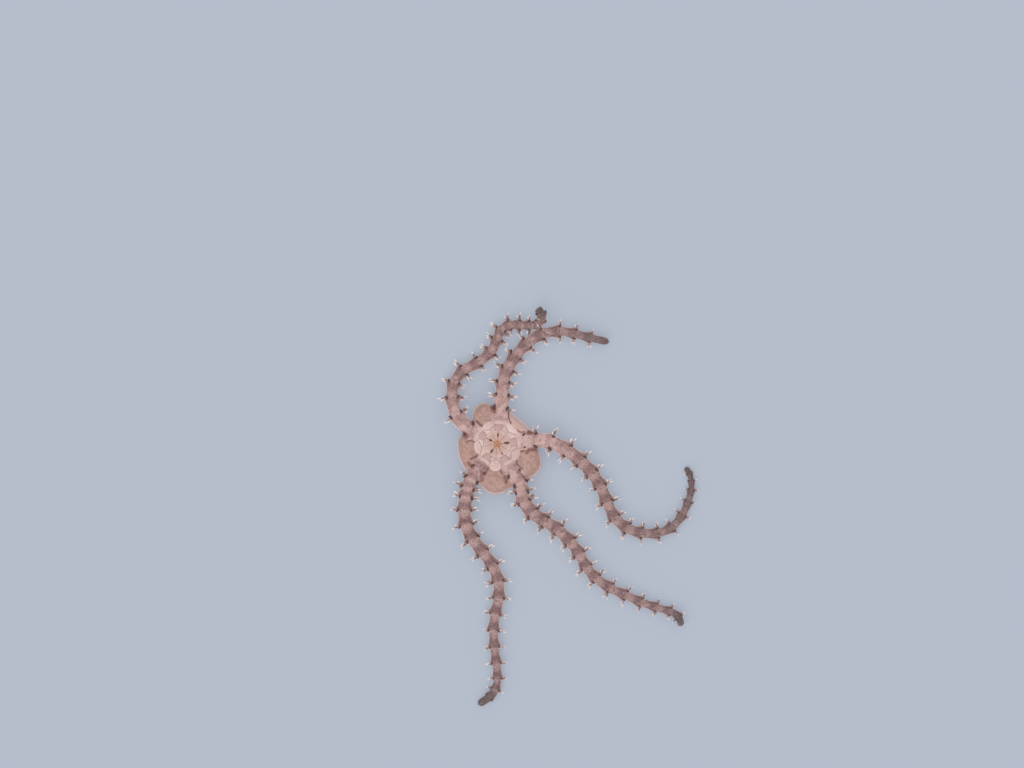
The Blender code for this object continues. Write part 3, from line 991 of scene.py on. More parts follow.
@dataclass
class Disc:
    """The body between the arms, soft and swollen in five lobes."""

    edge: tuple[Pair, ...] = ((2, 1.34), (50, 1.15), (86, 1.23), (113, 1.53), (148, 1.12),
                              (180, 1.41), (233, 1.46), (268, 1.77), (296, 1.56), (328, 1.74))
    # Share of the way from the back's middle round the edge to the mouth, radius share and height
    profile: tuple[tuple[float, float, float], ...] = (
        (0.00, 0.00, 0.022), (0.20, 0.52, 0.022), (0.27, 0.70, 0.045), (0.34, 0.86, 0.13),
        (0.40, 0.955, 0.25), (0.47, 0.995, 0.41), (0.53, 0.985, 0.56), (0.58, 0.94, 0.68),
        (0.63, 0.86, 0.76), (0.70, 0.72, 0.80), (0.78, 0.56, 0.80), (0.86, 0.40, 0.79),
        (0.93, 0.22, 0.76), (0.97, 0.10, 0.75), (1.00, 0.00, 0.735))
    swell: float = 0.035
    segments: int = 230
    rings: int = 96

    def radius(self, degrees: float) -> float:
        """Radius of the disc's edge in one direction.

        Args:
            degrees: The direction.

        Returns:
            The radius.
        """
        angle = degrees % 360
        marks = [*self.edge, (self.edge[0][0] + 360, self.edge[0][1])]
        if angle < marks[0][0]:
            angle += 360
        for (start_at, inner), (end, outer) in zip(marks, marks[1:]):
            if start_at <= angle <= end:
                share = (1 - math.cos(math.pi * (angle - start_at) / (end - start_at))) / 2
                return inner + (outer - inner) * share
        return marks[0][1]

    def surface(self, degrees: float, way: float) -> Vector:
        """A point of the surface.

        Args:
            degrees: Its direction from the mouth.
            way: Its share of the way from the back's middle round the edge to the mouth.

        Returns:
            The point.
        """
        ways, radii, heights = zip(*self.profile)
        share = float(np.interp(way, ways, radii))
        spot = polar(self.radius(degrees) * share, degrees, float(np.interp(way, ways, heights)))
        if way > 0.5:
            spot.z += self.lobe(degrees, share)
        return spot

    def lobe(self, degrees: float, share: float) -> float:
        """How far the mouth side swells between two arms.

        Args:
            degrees: The direction.
            share: The share of the radius.

        Returns:
            The height added.
        """
        nearest = min(apart(degrees, route.direction) for route in ROUTES)
        bulge = ease(share, 0.50, 0.72) * ease(share, 0.99, 0.85)
        return self.swell * ease(nearest, 10, 28) * bulge

    def build(self) -> bpy.types.Object:
        """Shape the disc from a sphere.

        Returns:
            The disc's closed body.
        """
        clear_selection()
        bpy.ops.mesh.primitive_uv_sphere_add(segments=self.segments, ring_count=self.rings, radius=1.0)
        made = stop(start("disc_body"))
        points = points_of(made)
        for number, (x, y, z) in enumerate(points):
            way = 1 - math.acos(max(min(z, 1.0), -1.0)) / math.pi
            points[number] = self.surface(bearing((x, y)), way)
        move(made, points)
        return made


# Skin


@dataclass
class Marks:
    """Where the skin's markings, its painted rim highlight and its painted slit shade lie, read from the
    arms' own lines.
    """

    disc: Disc
    rosette_radius: float = 0.78

    def __post_init__(self) -> None:
        """Lay points along every arm for finding the nearest place."""
        self.frames = [(route, step / 10, *route.frame_at(step / 10)) for route in ROUTES
                       for step in range(10 * route.segments.start, 10 * route.end + 1)]
        self.tree = KDTree(len(self.frames))
        for number, (_, _, centre, _, _) in enumerate(self.frames):
            self.tree.insert(Vector((centre.x, centre.y, 0.0)), number)
        self.tree.balance()

    def locate(self, spot: Vector) -> tuple[Route, float, float, float]:
        """Find an arm's place for a point.

        Args:
            spot: The point.

        Returns:
            The route, the place, and the shares of the half width and half height.
        """
        _, number, _ = self.tree.find(Vector((spot.x, spot.y, 0.0)))
        route, place, centre, along, across = self.frames[number]
        offset = spot - centre
        step = max((route.point(place + 0.05)[0] - route.point(place - 0.05)[0]).length * 10, 0.05)
        place += offset.dot(along) / step
        half = route.half(place, 1.0)
        return route, place, offset.dot(across) / half, offset.z / (half * route.height_share)

    @staticmethod
    def slit_shares(points: np.ndarray) -> np.ndarray:
        """How dark, as painted shade in the slits, and how red the disc's mouth side is.

        Args:
            points: Rows of x, y and z in millimetres.

        Returns:
            One row of two shares for each point.
        """
        shares = np.zeros((len(points), 2))
        upper = ease(points[:, 2], 0.42, 0.55)
        for line, width, redness in SLITS:
            for first, last in zip(np.array(line), np.array(line)[1:]):
                way = last - first
                offset = points[:, :2] - first
                share = np.clip(offset @ way / (way @ way), 0.0, 1.0)
                off = np.linalg.norm(offset - share[:, None] * way, axis=1)
                near = ease(off, width * 1.9, width * 0.5) * upper
                shares[:, 0] = np.maximum(shares[:, 0], near * (1 - redness))
                shares[:, 1] = np.maximum(shares[:, 1], near * min(redness * 1.2, 1.0))
        return shares

    @staticmethod
    def pink_at(degrees: float) -> float:
        """How pink the disc is in a direction."""
        return ease(apart(degrees, 42), 55, 25)

    def read(self, spot: Vector) -> tuple[Colour, Colour, Colour]:
        """Shares of every marking and of the painted rim highlight at one point of the skin.

        Args:
            spot: The point, in millimetres.

        Returns:
            The rows for the attributes marks, zones and spots.
        """
        route, place, side, high = self.locate(spot)
        degrees = bearing(spot)
        radius = spot.xy.length
        edge = self.disc.radius(degrees)
        inside = ease(radius, edge * 1.05, edge * 0.98)
        on_arm = ease(abs(side), 1.14, 0.98) * (1.0 if high > 0.1 or inside < 0.5 else 0.0)
        lobe = inside * (1 - on_arm)
        t = place - math.floor(place)
        bell = ease(t, 0.20, 0.60) * ease(t, 1.0, 0.95)
        neck = (1 - bell) * ease(abs(side), 1.0, 0.7)
        # The pale rim on the arms' flanks and, below, along the disc's outline is a painted rim highlight
        rim = ease(abs(side), 0.80, 1.0) * ease(abs(high), 0.75, 0.3) * (1 - inside)
        pink = route.freshness(place)
        if lobe > 0.5:
            rim = ease(radius, edge * 0.965, edge * 0.995)
            pink = self.pink_at(degrees)
        dark_from_age_and_shade = route.dark_from_age_and_shade(place) * (1 - inside)
        rosette = ease(radius, self.rosette_radius + 0.08, self.rosette_radius - 0.04) * (spot.z > 0.5)
        return (bell, neck, rim), (lobe, dark_from_age_and_shade, pink), (0.0, 0.0, rosette)


@dataclass
class Skin:
    """One seamless skin over the disc and the five arms."""

    disc: Disc
    marks: Marks
    slit_depth: float = 0.035

    def build(self, nodes: tuple[str, ...]) -> None:
        """Build, mark and dress the skin.

        Args:
            nodes: The solids that it stands for.
        """
        segment = Segment()
        pattern = segment.model()
        arms = [segment.arm(route, pattern) for route in ROUTES]
        remove(pattern)
        skin = self.disc.build()
        self.merge(skin, arms)
        skin.name = "skin"
        self.soften(skin)
        rows = [self.marks.read(vertex.co) for vertex in skin.data.vertices]
        marks, zones, spots = (np.array([row[number] for row in rows]) for number in range(3))
        points = points_of(skin)
        spots[:, :2] = self.marks.slit_shares(points)
        for name, values in (("marks", marks), ("zones", zones), ("spots", spots)):
            grade(skin, name, values)
        points[:, 2] -= self.slit_depth * spots[:, 0]
        move(skin, points)
        set_out(skin, SkinFinish().material(), nodes, angle=60)

    @staticmethod
    def merge(skin: bpy.types.Object, arms: list[bpy.types.Object]) -> None:
        """Join the arms to the disc as solids, and remove them.

        Args:
            skin: The disc, which becomes the skin.
            arms: The arms.
        """
        group = bpy.data.collections.new("joined")
        bpy.context.scene.collection.children.link(group)
        clear_selection()
        for arm in arms:
            bpy.context.scene.collection.objects.unlink(arm)
            group.objects.link(arm)
        bpy.context.view_layer.objects.active = skin
        union = skin.modifiers.new("Boolean", "BOOLEAN")
        union.operation = "UNION"
        union.operand_type = "COLLECTION"
        union.collection = group
        union.solver = "MANIFOLD"
        bpy.ops.object.modifier_apply(modifier=union.name)
        for arm in arms:
            remove(arm)
        bpy.data.collections.remove(group)

    def soften(self, skin: bpy.types.Object) -> None:
        """Round the crease where the arms run into the disc.

        Args:
            skin: The skin.
        """
        choose(skin)
        for vertex in skin.data.vertices:
            share = vertex.co.xy.length / self.disc.radius(bearing(vertex.co))
            _, _, side, high = self.marks.locate(vertex.co)
            vertex.select = share < 1.04 and 0.85 < abs(side) < 1.25 and abs(high) < 1.3
        for edge in skin.data.edges:
            edge.select = all(skin.data.vertices[i].select for i in edge.vertices)
        for face in skin.data.polygons:
            face.select = False
        bpy.ops.object.mode_set(mode="EDIT")
        bpy.ops.mesh.select_mode(type="VERT")
        bpy.ops.mesh.vertices_smooth(factor=0.5, repeat=3)
        bpy.ops.object.mode_set(mode="OBJECT")


# Coats


class Coat:
    """Many copies of one small piece, joined into one mesh."""

    def __init__(self, name: str, pattern: bpy.types.Object, seed: int) -> None:
        """Read the pattern, whose Y runs from root to tip, and remove it.

        Args:
            name: The coat's name.
            pattern: The piece to copy.
            seed: The seed of its random draws.
        """
        self.name = name
        self.random = random.Random(seed)
        self.points = points_of(pattern)
        self.faces = [tuple(face.vertices) for face in pattern.data.polygons]
        remove(pattern)
        self.flat = unit_box(self.points)
        self.copies: list[tuple[np.ndarray, Pair, float]] = []

    def add(self, place: Matrix, patch: Pair, bend: float = 0.0) -> None:
        """Set one copy.

        Args:
            place: Where it goes, with its turn and size.
            patch: Its root's place on the unwrap.
            bend: How far its tip bends down, in shares of its length.
        """
        points = self.points.copy()
        points[:, 2] -= bend * self.flat[:, 1] ** 2
        rows = np.c_[points, np.ones(len(points))] @ np.array(place).T
        self.lay(rows[:, :3], patch)

    def point(self, root: Vector, way: Vector, size: Pair, patch: Pair, bend: float) -> None:
        """Set one copy that points a given way.

        Args:
            root: Where its root goes.
            way: The way it points.
            size: Its radius and its length.
            patch: Its root's place on the unwrap.
            bend: How far its tip bends down.
        """
        radius, length = size
        turn = way.to_track_quat("Y", "Z").to_matrix().to_4x4()
        sized = Matrix.Diagonal((radius, length, radius, 1.0))
        self.add(Matrix.Translation(root) @ turn @ sized, patch, bend)

    def lay(self, points: np.ndarray, patch: Pair) -> None:
        """Set one copy whose points are already in place."""
        points[:, 2] = np.maximum(points[:, 2], CLEARANCE)
        self.copies.append((points, patch, self.random.random()))

    def build(self, rise_axis: int = 1) -> bpy.types.Object:
        """Join the copies.

        Args:
            rise_axis: The axis that the grade follows, 1 along the piece and 2 up it.

        Returns:
            The joined piece.
        """
        count = len(self.points)
        laid, patches, tints = zip(*self.copies)
        faces = [tuple(i + first for i in face) for first in range(0, count * len(laid), count)
                 for face in self.faces]
        mesh = bpy.data.meshes.new(self.name)
        mesh.from_pydata(np.concatenate(laid).tolist(), [], faces)
        made = bpy.data.objects.new(self.name, mesh)
        bpy.context.scene.collection.objects.link(made)
        flat = np.tile(self.flat, (len(laid), 1))
        grade(made, "grade", np.c_[flat[:, rise_axis], np.repeat(tints, count), flat[:, 2]])
        unwrap_points(made, np.repeat(np.array(patches), count, axis=0) + (flat[:, :2] - 0.5) * COPY_PATCH)
        return made


@dataclass
class Spines:
    """The short glassy spines along both sides of every arm."""

    disc: Disc
    length: float = 0.268
    radius: float = 0.062
    place: float = 0.94
    missing: float = 0.06
    buried: float = 0.22
    ground_gap: float = 0.02
    disc_gap: float = 0.04
    cuts: tuple[float, ...] = (0.1, 0.24, 0.42, 0.62, 0.82)
    girths: tuple[float, ...] = (0.9, 1.1, 1.12, 1.05, 1.0, 1.0, 0.7)
    seed: int = 11
    # Rise and lean towards the tip in degrees, height on the side, and share of the length
    row: tuple[tuple[float, float, float, float], ...] = (
        (32, -16, 0.50, 0.88), (8, 14, 0.12, 1.04), (-8, -4, -0.36, 0.98))

    def model(self) -> bpy.types.Object:
        """Model one spine, a long cone with a swollen root and a blunt tip.

        Returns:
            The spine, from Y 0 to Y 1.
        """
        clear_selection()
        bpy.ops.mesh.primitive_cone_add(vertices=8, radius1=1.0, radius2=0.16, depth=1.0,
                                        location=(0, 0.5, 0), rotation=(-math.pi / 2, 0, 0))
        made = start("spine")
        cut_across(self.cuts)
        stop(made)
        points = points_of(made)
        girth = np.interp(points[:, 1], (0, *self.cuts, 1.0), self.girths)
        points[:, 0] *= girth
        points[:, 2] *= girth * 0.85
        move(made, points)
        return made

    def build(self) -> None:
        """Set the spines on every arm and join them."""
        coat = Coat("spines", self.model(), self.seed)
        for route in ROUTES:
            for number in range(-1, route.end):
                if number + self.place <= route.end - route.bare:
                    self.dress_segment(coat, route, number + self.place)
        set_out(coat.build(), SpineFinish().material(), angle=50)

    def dress_segment(self, coat: Coat, route: Route, place: float) -> None:
        """Set the spines of one segment.

        Args:
            coat: The coat to add them to.
            route: The arm's route.
            place: The place along the arm.
        """
        centre, along, across = route.frame_at(place)
        half = route.half(place, 1.0)
        grown = route.share(place)
        rows = self.row if grown < 0.75 else self.row[1:]
        for hand in (-1, 1):
            for rise, lean, height, reach in rows:
                if coat.random.random() < self.missing:
                    continue
                rise = math.radians(rise + coat.random.uniform(-7, 7))
                lean = math.radians(lean + 8 * grown + coat.random.uniform(-12, 12))
                out = across * hand
                way = (out * math.cos(lean) + along * math.sin(lean)) * math.cos(rise)
                way.z = math.sin(rise)
                inset = math.sqrt(1 - height**2) - self.buried
                root = centre + out * half * inset + Vector((0, 0, height * half * route.height_share))
                length = self.length * (1 - 0.62 * grown**2.6) * reach * coat.random.uniform(0.8, 1.12)
                length += half * 0.16
                radius = self.radius * (1 - 0.40 * grown) * coat.random.uniform(0.88, 1.1)
                tip = root + way * length
                edge = self.disc.radius(bearing(tip)) + self.disc_gap
                if tip.z < self.ground_gap or tip.xy.length < edge:
                    continue
                patch = route.patch(place, math.pi / 2 * hand * (1 - height * 0.6))
                coat.point(root, way, (radius, length), patch, coat.random.uniform(-0.6, 0.9))


@dataclass
class TubeFeet:
    """The dark tube feet at the outer corners of every segment."""

    length: float = 0.158
    radius: float = 0.048
    place: float = 0.90
    # Where a root sits, in shares of the arm's half width and half height
    root_aside: float = 0.67
    root_height: float = 0.74
    bare_tip: float = 0.3
    mouth_gap: float = 0.78
    bend: float = 0.5
    seed: int = 23

    def model(self) -> bpy.types.Object:
        """Model one tube foot, a blunt finger with soft folds.

        Returns:
            The foot, from Y 0 to Y 1.
        """
        clear_selection()
        bpy.ops.mesh.primitive_uv_sphere_add(segments=8, ring_count=8, radius=1.0, location=(0, 0.5, 0),
                                             rotation=(-math.pi / 2, 0, 0), scale=(1, 1, 0.5))
        made = stop(start("foot"))
        points = points_of(made)
        folds = 1.0 + 0.08 * np.cos(points[:, 1] * 22) + 0.12 * ease(points[:, 1], 0.5, 0.0)
        points[:, [0, 2]] *= folds[:, None]
        move(made, points)
        return made

    def build(self) -> None:
        """Set a pair of tube feet on every segment and join them."""
        coat = Coat("tube_feet", self.model(), self.seed)
        for route in ROUTES:
            for number in route.segments:
                place = number + self.place
                if place > route.end - self.bare_tip or route.point(place)[0].length < self.mouth_gap:
                    continue
                for hand in (-1, 1):
                    self.set_foot(coat, route, place, hand)
        set_out(coat.build(), FootFinish().material(), angle=80)

    def set_foot(self, coat: Coat, route: Route, place: float, hand: int) -> None:
        """Set one tube foot.

        Args:
            coat: The coat to add it to.
            route: The arm's route.
            place: The place along the arm.
            hand: The side of the arm, 1 or -1.
        """
        centre, along, across = route.frame_at(place)
        half = route.half(place, 1.0)
        size = 1 - 0.55 * route.share(place)
        root = centre + across * hand * half * self.root_aside
        root += Vector((0, 0, half * route.height_share * self.root_height))
        aside = coat.random.uniform(0.05, 0.75)
        way = (along + across * hand * aside + Vector((0, 0, coat.random.uniform(-0.15, 0.15)))).normalized()
        length = self.length * size * coat.random.uniform(0.85, 1.15)
        radius = self.radius * size * coat.random.uniform(0.9, 1.1)
        coat.point(root, way, (radius, length), route.patch(place, 0.8 * hand), self.bend)


# Plates


def model_plate(name: str, outline: list[Vector], thick: float, crown: float, rim: float) -> bpy.types.Object:
    """Model one small plate, cut from an outline, thickened and crowned.

    Args:
        name: Its name.
        outline: Its points, anticlockwise, at the height of its upper edge.
        thick: How deep it goes below them.
        crown: How far its middle stands above them.
        rim: Width of its rounded rim, in shares of its size.

    Returns:
        The plate.
    """
    clear_selection()
    bpy.ops.mesh.primitive_circle_add(vertices=len(outline), radius=1.0, fill_type="NGON")
    made = start(name)
    bpy.ops.object.mode_set(mode="OBJECT")
    low = np.array([(*point.xy, point.z - thick) for point in outline])
    move(made, low)
    x, y = low[:, 0], low[:, 1]
    swept = x * np.roll(y, -1) - np.roll(x, -1) * y
    middle = [float(np.sum((line + np.roll(line, -1)) * swept) / (3 * np.sum(swept))) for line in (x, y)]
    bpy.ops.object.mode_set(mode="EDIT")
    bpy.ops.mesh.select_all(action="SELECT")
    bpy.ops.mesh.extrude_region_move(TRANSFORM_OT_translate={"value": (0, 0, thick)})
    for lift, share in ((crown * 0.65, 1 - rim * 0.7), (crown * 0.35, 1 - rim * 2.0)):
        bpy.ops.mesh.extrude_region_move(TRANSFORM_OT_translate={"value": (0, 0, lift)})
        bpy.ops.transform.resize(value=(share, share, 1), center_override=(*middle, 0.0))
    bpy.ops.mesh.poke()
    return stop(made)


@dataclass
class Plates:
    """Separate plates of one kind round the mouth."""

    name: str
    seed: int
    items: list[tuple[bpy.types.Object, Pair]] = field(default_factory=list)

    def add(self, outline: list[Vector], thick: float, crown: float, rim: float) -> None:
        """Model one plate and keep it for joining, with the same sizes as model_plate takes."""
        made = model_plate(f"{self.name}_{len(self.items)}", outline, thick, crown, rim)
        self.items.append((made, disc_patch(sum(outline, Vector()) / len(outline), Side.MOUTH)))

    def finish(self, material: bpy.types.Material, nodes: tuple[str, ...] = ()) -> None:
        """Join the plates into one piece with its grade and its patches, and dress it.

        Args:
            material: The plates' material.
            nodes: The solids that they stand for.
        """
        draw = random.Random(self.seed)
        for made, patch in self.items:
            points = points_of(made)
            flat = unit_box(points)
            rise, tint = ease(flat[:, 2], 0.3, 1.0), np.full(len(points), draw.random())
            grade(made, "grade", np.c_[rise, tint, np.hypot(points[:, 0], points[:, 1])])
            unwrap_points(made, np.array(patch) + (flat[:, :2] - 0.5) * PLATE_PATCH)
        joined = join(self.name, [made for made, _ in self.items])
        set_out(joined, material, nodes, angle=35)


@dataclass
class Mouth:
    """The star of plates round the mouth: jaws, shields and papillae."""

    directions: tuple[float, ...] = (-95, -30, 47, 117, 190)
    # Direction of each mouth slit, how wide it gapes, and its ends' distances from the mouth
    slits: tuple[tuple[float, float, float, float], ...] = (
        (-64, 0.60, 0.33, 0.43), (6, 1.20, 0.23, 0.45), (86, 0.75, 0.21, 0.40), (151, 1.10, 0.21, 0.33),
        (233, 1.00, 0.24, 0.40))
    # Distance from the mouth, half length outwards, half width and pinched inner end of each shield
    shields: tuple[tuple[float, float, float, float], ...] = (
        (0.755, 0.205, 0.205, 0.12), (0.730, 0.150, 0.235, 0.40), (0.735, 0.155, 0.235, 0.40),
        (0.705, 0.140, 0.225, 0.40), (0.695, 0.130, 0.235, 0.40))
    # One side of a first plate: distances from the mouth and degrees from its middle line
    first: tuple[Pair, ...] = ((0.420, 0.0), (0.455, 6.5), (0.510, 11.5), (0.575, 13.5), (0.640, 12.0),
                               (0.695, 6.5), (0.708, 0.0))

    def build(self, nodes: tuple[str, ...]) -> None:
        """Build the shields, the jaws, the papillae and the small mauve plates outside the slits.

        Args:
            nodes: The solids that they stand for.
        """
        shields = Plates("mouth_shields", seed=5)
        jaws = Plates("jaws", seed=6)
        for direction, shield in zip(self.directions, self.shields):
            self.shield(shields, direction, *shield)
            for hand in (-1, 1):
                limit, *slit = min(((slit[0] - direction) * hand % 360, *slit[1:]) for slit in self.slits)
                side = JawSide(direction, hand, limit, *slit)
                side.wing(shields, shield)
                side.jaw_half(jaws)
                side.papillae(jaws)
            tooth = ring(polar(0.062, direction, MOUTH_LEVEL - 0.045), 0.030)
            jaws.add(tooth, thick=0.06, crown=0.016, rim=0.30)
        mauve = Plates("first_plates", seed=8)
        for direction, *_ in self.slits:
            corners = (*self.first, *((radius, -turn) for radius, turn in self.first[-2:0:-1]))
            outline = [polar(radius, direction + turn, MOUTH_LEVEL + 0.004) for radius, turn in corners]
            mauve.add(outline, thick=0.09, crown=0.018, rim=0.24)
        finish = MouthFinish().material()
        shields.finish(finish, nodes)
        jaws.finish(finish)
        mauve.finish(MouthFinish("first_plate", (0.488, 0.302, 0.288), (0.470, 0.285, 0.262)).material())

    @staticmethod
    def shield(plates: Plates, direction: float, centre: float, length: float, width: float,
               pinch: float) -> None:
        """The rounded shield between two arms, narrower towards the mouth.

        Args:
            plates: The plates to add it to.
            direction: Its direction from the mouth.
            centre: Its distance from the mouth.
            length: Its half length outwards.
            width: Its half width.
            pinch: How much narrower its inner end is.
        """
        outline = []
        for turn in turns(24):
            aside = width * (1 - pinch * max(-math.cos(turn), 0.0)) * math.sin(turn)
            spot = polar(centre + length * math.cos(turn), direction + math.degrees(aside / centre))
            spot.z = MOUTH_LEVEL + 0.006 - 0.10 * max(spot.length - 0.80, 0.0)
            outline.append(spot)
        plates.add(outline, thick=0.085, crown=0.020, rim=0.22)


@dataclass
class JawSide:
    """One side of a jaw: its direction and hand, the degrees to the slit beside it, and that slit."""

    direction: float
    hand: int
    limit: float
    gape: float
    inner: float
    outer: float

    def place(self, radius: float, share: float) -> Vector:
        """A point at the plates' height, by its share of the way from the middle line to the slit.

        Args:
            radius: Its distance from the mouth.
            share: The share of the way.

        Returns:
            The point.
        """
        clear = math.degrees(MOUTH_GAP / radius)
        turn = self.hand * (clear + share * (self.limit - 2 * clear))
        return polar(radius, self.direction + turn, MOUTH_LEVEL - 0.16 * max(0.26 - radius, 0.0))

    def plate(self, plates: Plates, marks: tuple[Pair, ...], crown: float, rim: float) -> None:
        """One plate given by its corners' distances and shares."""
        points = [self.place(radius, share) for radius, share in marks]
        plates.add(points[::self.hand], thick=0.075, crown=crown, rim=rim)

    def wing(self, plates: Plates, shield: tuple[float, float, float, float]) -> None:
        """The curved plate between the shield and the jaw.

        Args:
            plates: The plates to add it to.
            shield: The shield's sizes.
        """
        centre, length, width, _ = shield
        foot = centre - length - 0.012
        edge = math.degrees(width / centre) / self.limit
        low, middle, high = (1 - turn / self.limit for turn in (11.8, 13.8, 13.6))
        marks = ((foot, 0.0), (foot + 0.025, edge * 0.42), (foot + 0.085, edge * 0.84),
                 (foot + 0.125, edge * 1.03), (foot + 0.130, max(edge * 1.08, high)), (0.600, high),
                 (0.560, middle), (0.510, low), (0.490, low), (0.487, 0.35), (0.487, 0.0))
        self.plate(plates, marks, crown=0.012, rim=0.06)

    def on_slit(self, share: float) -> float:
        """Distance from the mouth at a share of the way along the slit, from its outer end."""
        return self.outer + (self.inner - self.outer) * share

    def jaw_half(self, plates: Plates) -> None:
        """One half of a jaw, pointing to the mouth and hollowed where the slit stands open.

        Args:
            plates: The plates to add it to.
        """
        hollow = tuple((self.on_slit(share), 1 - depth * self.gape) for share, depth in (
            (0.0, 0.02), (0.20, 0.14), (0.50, 0.19), (0.80, 0.15), (1.0, 0.02)))
        marks = ((0.484, 0.0), (0.484, 0.35), (0.484, 1 - 10.5 / self.limit), (0.462, 1 - 6.8 / self.limit),
                 (0.452, 1 - 2.5 / self.limit), *hollow, (0.150, 0.92), (0.115, 0.60), (0.105, 0.0),
                 (0.300, 0.0))
        self.plate(plates, marks, crown=0.014, rim=0.14)

    def papillae(self, plates: Plates) -> None:
        """Small blunt papillae along the edge of a jaw, from alternate sides where the slit is short.

        Args:
            plates: The plates to add them to.
        """
        sizes = ((0.15, 0.13, 0.017), (0.45, 0.20, 0.016), (0.75, 0.18, 0.015))
        for number, (share, depth, size) in enumerate(sizes):
            if self.outer - self.inner < 0.15 and number % 2 == (self.hand > 0):
                continue
            centre = self.place(self.on_slit(share), 1 - depth * self.gape) - Vector((0, 0, 0.012))
            plates.add(ring(centre, size), thick=0.06, crown=0.016, rim=0.28)


@dataclass(frozen=True)
class ArmPlate:
    """One kind of arm plate: corners as angle from the mouth side in radians and share of the segment."""

    name: str
    corners: tuple[Pair, ...]
    crown: float
    depth: float
    on_disc: bool = False
    hands: tuple[int, ...] = (1,)


@dataclass
class ArmPlates:
    """The plates of the arms: below the mouth side, on the flanks and over the back."""

    kinds: tuple[ArmPlate, ...] = (
        ArmPlate("under_arm_plates", ((-0.16, 0.24), (0.16, 0.24), (0.40, 0.46), (0.52, 0.66), (0.50, 0.84),
                                      (0.36, 0.93), (0.0, 0.91), (-0.36, 0.93), (-0.50, 0.84), (-0.52, 0.66),
                                      (-0.40, 0.46)), 0.050, 0.95, on_disc=True),
        ArmPlate("back_arm_plates", ((2.78, 0.10), (3.50, 0.10), (3.86, 0.45), (4.05, 0.78), (3.85, 0.97),
                                     (3.50, 1.03), (3.14, 1.05), (2.78, 1.03), (2.43, 0.97), (2.23, 0.78),
                                     (2.42, 0.45)), 0.055, 0.80),
        ArmPlate("side_arm_plates", ((1.15, 0.16), (1.95, 0.16), (2.12, 0.50), (2.14, 0.80), (2.05, 0.965),
                                     (1.70, 0.985), (1.30, 0.985), (0.98, 0.965), (0.78, 0.90), (0.72, 0.72),
                                     (0.84, 0.42)), 0.045, 0.70, hands=(1, -1)),
    )

    def build(self) -> None:
        """Lay every kind of plate on every segment."""
        for kind in self.kinds:
            set_out(self.dress(kind), ArmPlateFinish(kind.name, kind.depth).material(), angle=50)

    def dress(self, kind: ArmPlate) -> bpy.types.Object:
        """Lay one kind of plate along the arms.

        Args:
            kind: The plate to lay.

        Returns:
            The joined plates.
        """
        outline = [Vector((*corner, 0.0)) for corner in kind.corners]
        pattern = model_plate("pattern", outline, thick=0.055, crown=kind.crown, rim=0.14)
        coat = Coat(kind.name, pattern, seed=41)
        zones = []
        for route in ROUTES:
            for number in route.segments if kind.on_disc else range(route.end):
                middle = number + 0.5
                if middle > route.end - 0.4 or route.joint(number).length < 0.60:
                    continue
                for hand in kind.hands:
                    points = self.bend(coat.points, route, number, hand)
                    coat.lay(points, route.patch(middle, hand * kind.corners[0][0]))
                    zones.append((route.dark_from_age_and_shade(middle), route.freshness(middle), 0.0))
        made = coat.build()
        grade(made, "zones", np.repeat(np.array(zones), len(coat.points), axis=0))
        return turn_out(made) if len(kind.hands) > 1 else made

    @staticmethod
    def bend(flat: np.ndarray, route: Route, number: int, hand: int) -> np.ndarray:
        """Wrap a flat plate round an arm.

        Args:
            flat: The plate's points: angle, share of the segment and height.
            route: The arm's route.
            number: The segment's number.
            hand: 1, or -1 to mirror it to the other side.

        Returns:
            The points in place.
        """
        points = np.zeros_like(flat)
        for row, (angle, along, height) in enumerate(flat):
            place = number + float(along)
            centre, _, across = route.frame_at(place)
            half = route.half(place, route.bell(place if along < 0.97 else number + 0.97))
            half *= route.tip_share(place)
            scale = 1 + height + 0.012
            points[row] = centre + across * (squared(math.sin(angle)) * hand * scale) * half
            points[row, 2] += squared(math.cos(angle)) * scale * half * route.height_share
        return points


